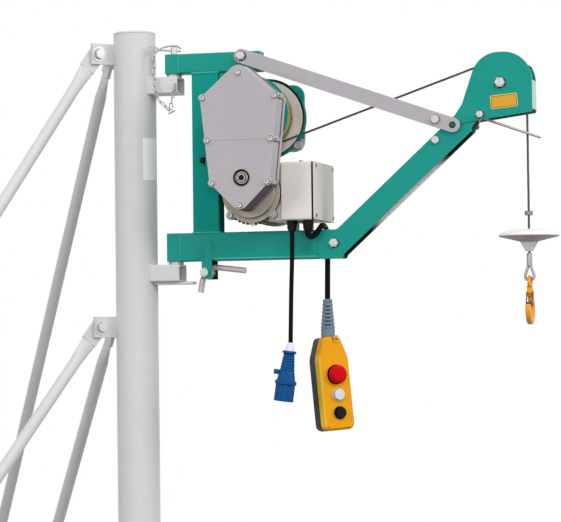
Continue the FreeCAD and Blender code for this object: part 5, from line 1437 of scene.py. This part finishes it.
@dataclass
class Winch(Assembly):
    """Gear unit, drum with its winding, bearing and motor."""

    cover_screw: Sizes = (5.2, 3.2)
    # Dark ring round each cover screw, a painted shadow.
    screw_shadow_ring: Sizes = (4.8, 6.2)
    screw_inset: float = 6.0
    tips: Sizes = (1190.0, 917.0)
    shoulder: Point = (83.0, 1140.0)
    lower: Point = (64.5, 964.0)
    oil_plug: Point = (276.0, 973.5)
    oil_floor: float = 9.0
    oil_profile: Profile = ((13.4, 0), (13.4, 6.2), (12.4, 7.2), (10.2, 7.2), (9.6, 5.8), (8.6, 5.8),
                            (8.2, 7.6), (6.6, 8.0), (5.8, 7.4, 6), (5.8, 3.0, 6), (TIP, 2.8))
    # Painted shadows of the oil plug's recess: dark rings in the recess and groove, a dark socket disc and
    # a ring on the face.
    oil_recess_shadow: Profile = ((15.7, 0), (15.7, 2.0), (14.6, 2.4), (12.4, 2.4), (12.4, 0))
    oil_groove_shadow: Profile = ((9.7, 5.0), (9.7, 6.1), (8.4, 6.1), (8.4, 5.0))
    oil_socket_shadow: Profile = ((6.4, 0.02, 6), (6.4, 0.4, 6), (TIP, 0.4))
    oil_rim_shadow: Sizes = (15.2, 17.3)
    bearing_half: Sizes = (69.0, 60.0)
    bearing_deep: float = 10.0
    bearing_nut: Sizes = (5.0, 5.0, 1.1)
    boss: Point = (67.62, -59.5)
    boss_height: float = 7.4
    boss_profile: Profile = ((9.8, -1), (9.8, 6.6), (8.8, 7.4), (TIP, 7.4))
    boss_screw: Sizes = (5.8, 4.0)
    # Dark rings painted as shadows round the boss screws and in the support's gap.
    boss_shadow_ring: Sizes = (5.2, 7.0)
    gap_shadow_profile: Profile = ((60, 0), (82.2, 0), (82.2, 0.8), (81.6, 1.2), (60, 1.2))
    gap_shadow_place: Point = (0, -5.0, 2.2)
    motor_half: float = 45.0
    motor_deep: float = 13.0
    motor_screw: Sizes = (5.0, 4.0)
    motor_nut: Sizes = (5.4, 4.0, 1.1)
    drain: Point = (3.0, 0, -61.0)
    drain_nut: Sizes = (4.6, 6.5, 1.1)
    fin_count: int = 9
    fin_first: float = 236.0
    fin_pitch: float = 8.0
    fin_half: float = 1.7
    fin_reach: Sizes = (59.0, 66.0)
    fin_before: float = 3.0
    fin_long: float = 16.0
    fin_taper: float = 0.7
    core: float = 55.0
    turn_points: int = 72
    lead_half: float = 3.2
    pitch: float = 5.2
    step: float = 4.2

    def build(self) -> None:
        """Finishes the winch and adds screws, bolts, plug, fins and winding."""
        self.dress(Finishes.CAST, "gear_cover", edge=1.2)
        self.dress(Finishes.CASE, "gear_case", edge=1.2)
        self.dress(Finishes.BEARING, "bearing_plate", edge=1.2)
        self.dress(Finishes.GASKET, "cover_gasket")
        self.dress(Finishes.PAINT, "winch_plate", "drum_support", edge=0.8)
        self.dress(Finishes.DRUM, "drum", edge=0.8)
        self.dress(Finishes.MOTOR, "motor_shield", "fan_cover", edge=1.0)
        self.dress(Finishes.MOTOR, "motor_body", edge=0.5)
        self.cover_screws()
        self.bearing_bolts()
        self.motor_bolts()
        self.motor_fins()
        self.winding()

    def cover_screws(self) -> None:
        """Socket screws on the cover's bosses and the oil plug, with dark rings and a disc painted as their
        shadows.
        """
        centre = middle("gear_cover").x
        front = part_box("gear_cover")[0].y
        half_way = [(high + low) / 2 for high, low in zip(self.shoulder, self.lower)]
        places = [(centre, z * MM) for z in self.tips]
        for half, z in (self.shoulder, half_way, self.lower):
            reach = (half - self.screw_inset) * MM
            places += [(centre - reach, z * MM), (centre + reach, z * MM)]
        screws = Shape()
        recess_shadows = Shape()
        for x, z in places:
            screws.head(Fastener.SOCKET, Vector((x, front, z)), NEAR, *self.cover_screw)
            recess_shadows.seat(Vector((x, front, z)), NEAR, *self.screw_shadow_ring)
        screws.finished("cover_screws", Finishes.ZINC)
        x, z = self.oil_plug
        mouth = Vector((x * MM, front, z * MM))
        floor = mouth + FAR * self.oil_floor * MM
        plug = Shape()
        plug.turn(floor, NEAR, self.oil_profile, 48)
        plug.finished("oil_plug", Finishes.BRASS)
        recess_shadows.turn(floor, NEAR, self.oil_recess_shadow, 48, hollow=True)
        recess_shadows.turn(floor, NEAR, self.oil_groove_shadow, 48, hollow=True)
        recess_shadows.turn(mouth, NEAR, self.oil_socket_shadow, 36)
        recess_shadows.seat(mouth, NEAR, *self.oil_rim_shadow)
        recess_shadows.finished("cover_recess_shadows", Finishes.PLASTIC)

    def bearing_bolts(self) -> None:
        """Bolts and bosses of the bearing plate, and dark rings painted as shadows round the boss screws
        and before the round support.
        """
        bolts = Shape()
        bosses = Shape()
        gap = Shape()
        centre = middle("bearing_plate")
        centre.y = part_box("bearing_plate")[0].y
        wide, tall = self.bearing_half
        for side, _ in SIDES:
            foot = centre + at(side * self.boss[0], 0, self.boss[1])
            bosses.turn(foot, NEAR, self.boss_profile, 32)
            seat = foot + NEAR * self.boss_height * MM
            bolts.head(Fastener.SOCKET, seat, NEAR, *self.boss_screw)
            gap.seat(seat, NEAR, *self.boss_shadow_ring)
            for z in (-tall, tall):
                bolts.hex_head(centre + at(side * wide, self.bearing_deep, z), FAR, *self.bearing_nut)
        bolts.finished("bearing_bolts", Finishes.ZINC)
        bosses.finished("bearing_bosses", Finishes.CAST)
        # Painted shadow: a dark ring in the gap between the drum's flange and the round support.
        gap.turn(centre + at(*self.gap_shadow_place), NEAR, self.gap_shadow_profile, 96, hollow=True)
        gap.finished("support_gap_shadow", Finishes.PLASTIC)

    def motor_bolts(self) -> None:
        """Bolts in the ears of the motor's end shield, and its drain plug."""
        shape = Shape()
        centre = middle("motor_shield")
        front = Vector((centre.x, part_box("motor_shield")[0].y, centre.z))
        half = self.motor_half
        for x in (-half, half):
            shape.head(Fastener.SOCKET, front + at(x, 0, -half), NEAR, *self.motor_screw)
            for z in (-half, half):
                shape.hex_head(front + at(x, self.motor_deep, z), FAR, *self.motor_nut)
        shape.hex_head(centre + at(*self.drain), -UP, *self.drain_nut)
        shape.finished("motor_bolts", Finishes.ZINC)

    def motor_fins(self) -> None:
        """Short cooling fins round the lower rim of the motor's end shield."""
        fins = Shape()
        front = middle("motor_shield") + NEAR * self.fin_before * MM
        for k in range(self.fin_count):
            angle = math.radians(self.fin_first + self.fin_pitch * k)
            aside = spoke(angle + math.pi / 2) * self.fin_half * MM
            narrow = aside * self.fin_taper
            root, tip = (front + spoke(angle) * reach * MM for reach in self.fin_reach)
            outline = [root - aside, root + aside, tip + narrow, tip - narrow]
            fins.slab(outline, FAR * self.fin_long * MM)
        fins.finished("motor_fins", Finishes.FIN)

    def winding(self) -> None:
        """Stranded turns on the drum in place of the plain solid, with one open turn under the rope."""
        shape = Shape()
        centre = middle("drum")
        low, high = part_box("wound_rope")
        wire = ROPE_RADIUS * MM
        top = high.z - centre.z - wire
        lead = self.lead_half * MM + wire
        for start, end in ((low.y + wire, -lead), (lead, high.y - wire)):
            turns = max(1.0, round((end - start) / (self.pitch * MM)))
            count = round(turns * self.turn_points)
            path = []
            for k in range(count + 1):
                axis = Vector((centre.x, start + (end - start) * k / count, centre.z))
                path.append(axis + spoke(2 * math.pi * turns * k / count) * top)
            stranded(shape, path, self.step, 4)
        base = Vector((centre.x, low.y, centre.z))
        reach = (high.y - low.y) / MM
        inner = top / MM - ROPE_RADIUS
        profile = [(self.core, 0), (inner, 0), (inner, reach - 1), (inner - 3, reach),
                   (inner - 6, reach - 1), (self.core, reach)]
        shape.turn(base, FAR, profile, 64, hollow=True)
        rope = shape.finished("drum_winding", Finishes.WOUND, Body.DRUM, 80)
        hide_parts("wound_rope")


@dataclass
class ControlBox(Assembly):
    """Control box with its lid and glands."""

    screw: Sizes = (4.0, 1.6)
    screw_inset: float = 9.0
    top_bolt: Point = (375, -40)
    top_bolt_size: Sizes = (5.0, 4.5, 1.5)
    saddle_back: float = 12.0
    saddle_reach: float = 36.0
    saddle_deep: float = 118.0
    saddle_cut: float = 16.0
    saddle_inset: float = 1.0
    saddle_overlap: float = 0.2
    lip_wide: float = 2.4
    lip_inset: float = 5.0
    lip_proud: float = 1.6
    lip_deep: float = 2.0

    def build(self) -> None:
        """Finishes the box and adds screws, bolt and saddle."""
        self.dress(Finishes.BOX, "control_box", edge=1.2)
        self.dress(Finishes.LID, "control_box_lid", edge=1.2)
        self.dress(Finishes.SEAL, "box_gasket")
        self.dress(Finishes.PLASTIC, "cable_glands", edge=0.8)
        self.screws()
        self.saddle()

    def screws(self) -> None:
        """Slotted screws in the lid's corners and the bolt on the box's top."""
        screws = Shape()
        bolt = Shape()
        low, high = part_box("control_box_lid")
        inset = self.screw_inset * MM
        for y in (low.y + inset, high.y - inset):
            for z in (low.z + inset, high.z - inset):
                screws.head(Fastener.SLOT, Vector((high.x, y, z)), EAST, *self.screw, 24)
        screws.finished("box_screws", Finishes.LATCH)
        x, y = self.top_bolt
        bolt.hex_head(Vector((x * MM, y * MM, high.z)), UP, *self.top_bolt_size)
        bolt.finished("box_bolt", Finishes.CHAIN)

    def saddle(self) -> None:
        """Sheet saddle that carries the box on the motor's side, with a lip at the box's edge."""
        shape = Shape()
        low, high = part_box("control_box")
        near = low.y + self.saddle_back * MM
        right = low.x + self.saddle_overlap * MM
        left = low.x - self.saddle_reach * MM
        foot, top = low.z + self.saddle_inset * MM, high.z - self.saddle_inset * MM
        cut = self.saddle_cut * MM
        outline = ((left, foot), (right, foot), (right, top), (left + cut, top), (left, top - cut))
        shape.slab([Vector((x, near, z)) for x, z in outline], FAR * self.saddle_deep * MM)
        corner = Vector((right - self.lip_wide * MM, low.z + self.lip_inset * MM))
        lip = square(corner, Vector((right, high.z - self.lip_inset * MM)))
        shape.slab([Vector((x, near - self.lip_proud * MM, z)) for x, z in lip], FAR * self.lip_deep * MM)
        shape.finished("box_saddle", Finishes.BOX)


@dataclass
class Cords(Assembly):
    """Supply cord with its plug, and the cord of the pendant; their lengths are in metres."""

    supply_radius: float = 4.6
    pendant_radius: float = 5.7
    supply_length: float = 0.230
    pendant_length: float = 0.260
    plug_tilt: float = 8.0
    plug_neck: float = 17.0
    supply_route: tuple[Point, ...] = ((357.0, -56.0, 865.0), (357.2, -56.0, 840.0), (356.4, -57.0, 800.0),
                                       (354.0, -57.5, 740.0), (352.4, -56.6, 682.0), (351.0, -56.0, 635.0))
    pendant_route: tuple[Point, ...] = (
        (391.0, -56.0, 865.0), (390.6, -56.0, 861.5), (390.6, -54.0, 857.0), (393.2, -47.5, 854.0),
        (397.6, -40.0, 854.5), (402.6, -36.0, 860.0), (407.4, -34.5, 866.5), (411.0, -31.5, 873.0),
        (413.0, -22.0, 878.3), (411.5, -8.0, 878.5), (409.5, 8.0, 878.5), (408.0, 22.0, 877.8),
        (408.5, 33.5, 869.5), (409.5, 38.0, 852.0), (409.2, 37.5, 820.0), (408.8, 35.4, 771.0),
        (408.5, 34.0, 726.0))

    def build(self) -> None:
        """Lays both cords and finishes the plug."""
        self.lay("supply_cord", self.supply_route, self.supply_radius, self.supply_length, "plug",
                 ["supply_plug"])
        self.lay("pendant_cord", self.pendant_route, self.pendant_radius, self.pendant_length, "object", [])
        self.plug()

    def lay(self, node: str, route: Sequence[Point], radius: float, length: float, far_end: str,
            pieces: list[str]) -> None:
        """A cord on its route, in place of its plain solid.

        Args:
            node: The frame's node.
            route: Control points in millimetres.
            radius: Radius in millimetres.
            length: Real length in metres.
            far_end: What is at its end; not used.
            pieces: Nodes that hang on it; not used.
        """
        points = [at(*point) for point in route]
        cord = linked(node + "_line", route_curve(node + "_line", points, radius * MM))
        cord.data.materials.append(Finishes.CORD.material())
        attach(cord, Body.JIB.value)
        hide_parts(node)
        log.info("%s: cord of %d mm", node, round(length / MM))

    def plug(self) -> None:
        """Blue plug with a pale gland nut; the border follows the plug's tilted axis."""
        axis = spoke(math.radians(90 - self.plug_tilt))
        border = at(*self.supply_route[-1]).dot(axis) / MM - self.plug_neck
        self.dress(replace(Finishes.PLUG, bands=((axis, border, BEYOND),)), "supply_plug", edge=0.5)


@dataclass
class Pendant(Assembly):
    """Hand pendant with boot, two shells and three buttons."""

    origin: Point = (408.5, 34.0, 646.0)
    turn: float = 41.0
    tilt: float = -5.2
    aside: float = -3.0
    front: float = 25.0
    back: float = 33.0
    half_width: float = 34.0
    wall: float = 3.0
    wall_soft: float = 2.6
    stop_down: float = 80.0
    push_down: Sizes = (122.0, 160.0)
    collar: Profile = ((20.8, -0.5), (20.7, 1.0), (20.3, 1.4), (19.9, 1.4), (19.5, 1.0), (19.5, 0.12),
                       (8.8, 0.12), (8.8, -0.5))
    rim: Profile = ((13.8, -0.5), (13.6, 2.6), (13.0, 3.2), (12.4, 3.2), (12.1, 2.6), (12.1, 0.12),
                    (8.8, 0.12), (8.8, -0.5))
    screw_inset: float = 10.0
    screw_down: Sizes = (52.0, 182.0)
    screw_sunk: float = 0.2
    screw: Sizes = (3.4, 1.2)
    lug: Point = (8.0, -22.6)
    lug_half: float = 5.6
    lug_down: Sizes = (1.0, 13.0)
    lug_crown: float = 3.0
    lug_steps: int = 6
    lug_thick: float = 4.0
    lug_screw: Sizes = (2.6, 1.2)
    lug_screw_down: float = 6.0
    tongue_aside: Sizes = (8.0, 6.0)
    tongue_down: Sizes = (1.0, 10.0)
    tongue_proud: float = 3.4
    tongue_thick: float = 2.0
    boot: float = 80.0
    boot_radii: Sizes = (9.5, 14.5)
    rib: float = 7.75
    ribs: int = 8
    slot_sides: Sizes = (-75.0, 105.0)
    slot_half: float = 26.0
    slot_steps: int = 8
    slot_sunk: float = 0.5
    slot_deep: float = 2.0
    slot_tall: float = 2.7
    slot_drop: float = 0.92

    def build(self) -> None:
        """Finishes the pendant, with painted light on the shell's left wall, and adds bezels, screws and
        the painted shade of the boot's slots.
        """
        self.dress(Finishes.BOOT, "pendant_boot", edge=0.4)
        # Painted light: the front shell's wall on the left is a lighter yellow.
        left = (self.matrix().to_3x3() @ -EAST).normalized()
        wall = (self.matrix() @ at(self.wall - self.half_width, 0, 0)).dot(left) / MM
        shell = replace(Finishes.SHELL, bands=((left, wall, BEYOND, self.wall_soft),))
        self.dress(shell, "pendant_front", edge=2.0)
        self.dress(Finishes.DARK, "pendant_back", edge=2.0)
        self.dress(Finishes.RED, "stop_button", edge=0.6)
        self.dress(Finishes.WHITE, "up_button", edge=0.5)
        self.dress(Finishes.PLASTIC, "down_button", edge=0.5)
        self.bezels()
        self.screws()
        self.slots()

    def matrix(self) -> Matrix:
        """From the case's own frame, with its origin in the middle of its top face, to its place.

        Returns:
            The matrix.
        """
        tilt = Matrix.Rotation(math.radians(self.tilt), 4, "Y")
        turn = Matrix.Rotation(math.radians(self.turn), 4, "Z")
        return Matrix.Translation(at(*self.origin)) @ tilt @ turn @ Matrix.Translation(at(self.aside, 0, 0))

    def placed(self, shape: Shape, name: str, finish: Finish) -> None:
        """Moves a shape from the case's own frame to its place and finishes it."""
        shape.mesh.transform(self.matrix())
        shape.finished(name, finish)

    def bezels(self) -> None:
        """Collar round the stop button's foot, dark as a painted shadow, and a raised rim round each push
        button.
        """
        raised, lowered = self.push_down
        for name, finish, down, profile, steps in (
                # The stop collar is dark as a painted shadow round the button.
                ("stop_collar_shadow", Finishes.PLASTIC, self.stop_down, self.collar, 48),
                ("raise_rim", Finishes.WHITE, raised, self.rim, 40),
                ("lower_rim", Finishes.PLASTIC, lowered, self.rim, 40)):
            ring = Shape()
            ring.turn(at(0, -self.front, -down), NEAR, profile, steps, hollow=True)
            self.placed(ring, name, finish)

    def screws(self) -> None:
        """Screws in the back shell's corners, and the lug with its screw and tongue beside the boot."""
        screws = Shape()
        for side, _ in SIDES:
            for down in self.screw_down:
                place = at(side * (self.half_width - self.screw_inset), self.back - self.screw_sunk, -down)
                screws.head(Fastener.SLOT, place, FAR, *self.screw, 24)
        x, y = self.lug
        place = at(x, y - self.lug_thick, -self.lug_screw_down)
        screws.head(Fastener.SLOT, place, NEAR, *self.lug_screw, 24)
        left, right = (x - aside for aside in self.tongue_aside)
        top, foot = self.tongue_down
        tongue = square(Vector((left, -top)), Vector((right, -foot)))
        screws.slab([at(a, y - self.tongue_proud, b) for a, b in tongue], FAR * self.tongue_thick * MM)
        self.placed(screws, "pendant_screws", Finishes.LATCH)
        lug = Shape()
        half = self.lug_half
        top, foot = self.lug_down
        crown = [math.pi * (1 - k / self.lug_steps) for k in range(self.lug_steps + 1)]
        outline = [at(x - half, y, -foot)]
        outline += [at(x + half * math.cos(a), y, self.lug_crown * math.sin(a) - top) for a in crown]
        outline.append(at(x + half, y, -foot))
        lug.slab(outline, NEAR * self.lug_thick * MM)
        self.placed(lug, "pendant_lug", Finishes.YELLOW)

    def slots(self) -> None:
        """Dark pieces in the boot's grooves, before and behind, that paint the shade of its slots."""
        shape = Shape()
        narrow, wide = self.boot_radii
        shares = [2 * k / self.slot_steps - 1 for k in range(self.slot_steps + 1)]
        for k in range(1, self.ribs - 1):
            outer = narrow + (wide - narrow) * (k + 1) / self.ribs - self.slot_sunk
            inner = outer - self.slot_deep
            centre = at(*self.origin) + UP * (self.boot - self.rib * (k + self.slot_drop)) * MM
            for facing in self.slot_sides:
                angles = [math.radians(facing + self.slot_half * share) for share in shares]
                spokes = [spoke(angle, EAST, FAR) * MM for angle in angles]
                outline = [centre + out * outer for out in spokes]
                outline += [centre + out * inner for out in reversed(spokes)]
                shape.slab(outline, -UP * self.slot_tall * MM)
        shape.finished("boot_slot_shade", Finishes.PLASTIC)


@dataclass(frozen=True)
class Lamp:
    """A square soft box: its place, the point that it faces, the side of its square and its power."""

    name: str
    place: Point
    aim: Point
    size: float
    watts: float

    def light(self) -> None:
        """Adds the lamp to the scene."""
        data = bpy.data.lights.new(self.name, "AREA")
        data.size = self.size
        data.energy = self.watts
        lamp = linked(self.name, data)
        lamp.location = self.place
        lamp.rotation_euler = (Vector(self.aim) - Vector(self.place)).to_track_quat("-Z", "Y").to_euler()


@dataclass
class Studio:
    """Pale floor, soft light and the photograph's camera."""

    camera_place: Point = (1.7257, -5.2593, 0.6163)
    azimuth: float = 15.0
    pitch: float = 2.0
    roll: float = 0.7
    focal_pixels: float = 2600.0
    image_width: float = 561.0
    sensor: float = 36.0
    view_end: float = 60.0
    sky: float = 0.76
    ground: float = 0.04
    dawn: Sizes = (-0.15, 0.55)
    floor_place: Point = (250.0, 0, -2.0)
    floor_profile: Profile = ((3000.0, -8), (3000.0, 0), (TIP, 0))
    floor_pale: Sizes = (0.86, 0.90)
    floor_dim: float = 0.12
    floor_rough: float = 0.85
    lamps: tuple[Lamp, ...] = (Lamp("front", (1.9, -5.9, 0.9), (0.4, 0, 0.95), 1.4, 80.0),
                               Lamp("fill", (-3.0, -4.8, 2.2), (0.3, 0, 0.9), 2.0, 100.0),
                               Lamp("key", (3.0, -3.6, 4.2), (0.4, 0, 1.0), 2.0, 80.0),
                               Lamp("side", (4.8, -0.6, 2.0), (0.5, 0, 1.0), 2.0, 78.0))

    def build(self) -> None:
        """Sets up camera, world, floor and lamps."""
        bpy.context.scene.view_settings.view_transform = "Standard"
        self.camera()
        self.world()
        self.floor()
        for lamp in self.lamps:
            lamp.light()

    def camera(self) -> None:
        """The photograph's camera."""
        lens = bpy.data.cameras.new("camera")
        lens.sensor_width = self.sensor
        lens.lens = self.focal_pixels * self.sensor / self.image_width
        lens.clip_end = self.view_end
        camera = linked("camera", lens)
        camera.location = self.camera_place
        turn = Matrix.Rotation(math.radians(self.azimuth), 3, "Z")
        lift = Matrix.Rotation(math.radians(90 + self.pitch), 3, "X")
        lean = Matrix.Rotation(math.radians(-self.roll), 3, "Z")
        camera.rotation_euler = (turn @ lift @ lean).to_euler()
        bpy.context.scene.camera = camera

    def world(self) -> None:
        """White to the camera and in reflections; as light, a soft dome that is dim below."""
        world = bpy.data.worlds.new("studio")
        bpy.context.scene.world = world
        shader = Shader(world, "Background")
        direction = shader.node("ShaderNodeTexCoord").outputs["Generated"]
        height = shader.value("ShaderNodeSeparateXYZ", {}, {0: direction}, "Z")
        dome = height.rise(*self.dawn) * (self.sky - self.ground) + self.ground
        seen = shader.seen()
        shader.set(Color=(1, 1, 1), Strength=seen + (1 - seen) * dome)

    def floor(self) -> None:
        """A round floor under the mast: pale to the eye, and dim as a source of light."""
        shape = Shape()
        shape.turn(at(*self.floor_place), UP, self.floor_profile, 96)
        data = bpy.data.meshes.new("floor")
        shape.mesh.to_mesh(data)
        shape.mesh.free()
        floor = linked("floor", data)
        material = bpy.data.materials.new("floor")
        shader = Shader(material)
        low, high = ((level,) * 3 for level in self.floor_pale)
        pale = shader.mix(shader.noise(3.0, 3.0), low, high)
        colour = shader.mix(shader.seen(), (self.floor_dim,) * 3, pale)
        shader.set(Base_Color=colour, Roughness=self.floor_rough)
        data.materials.append(material)


def main() -> None:
    """Builds the scene, sub-assembly by sub-assembly."""
    logging.basicConfig(level=logging.INFO, format="%(message)s")
    Studio().build()
    parts = (Cords(), Stand(), Hinge(), JibFrame(), Head(), RopeGear(), Winch(), ControlBox(), Pendant())
    for assembly in parts:
        log.info("%s", type(assembly).__name__)
        assembly.build()


if __name__ == "__main__":
    main()
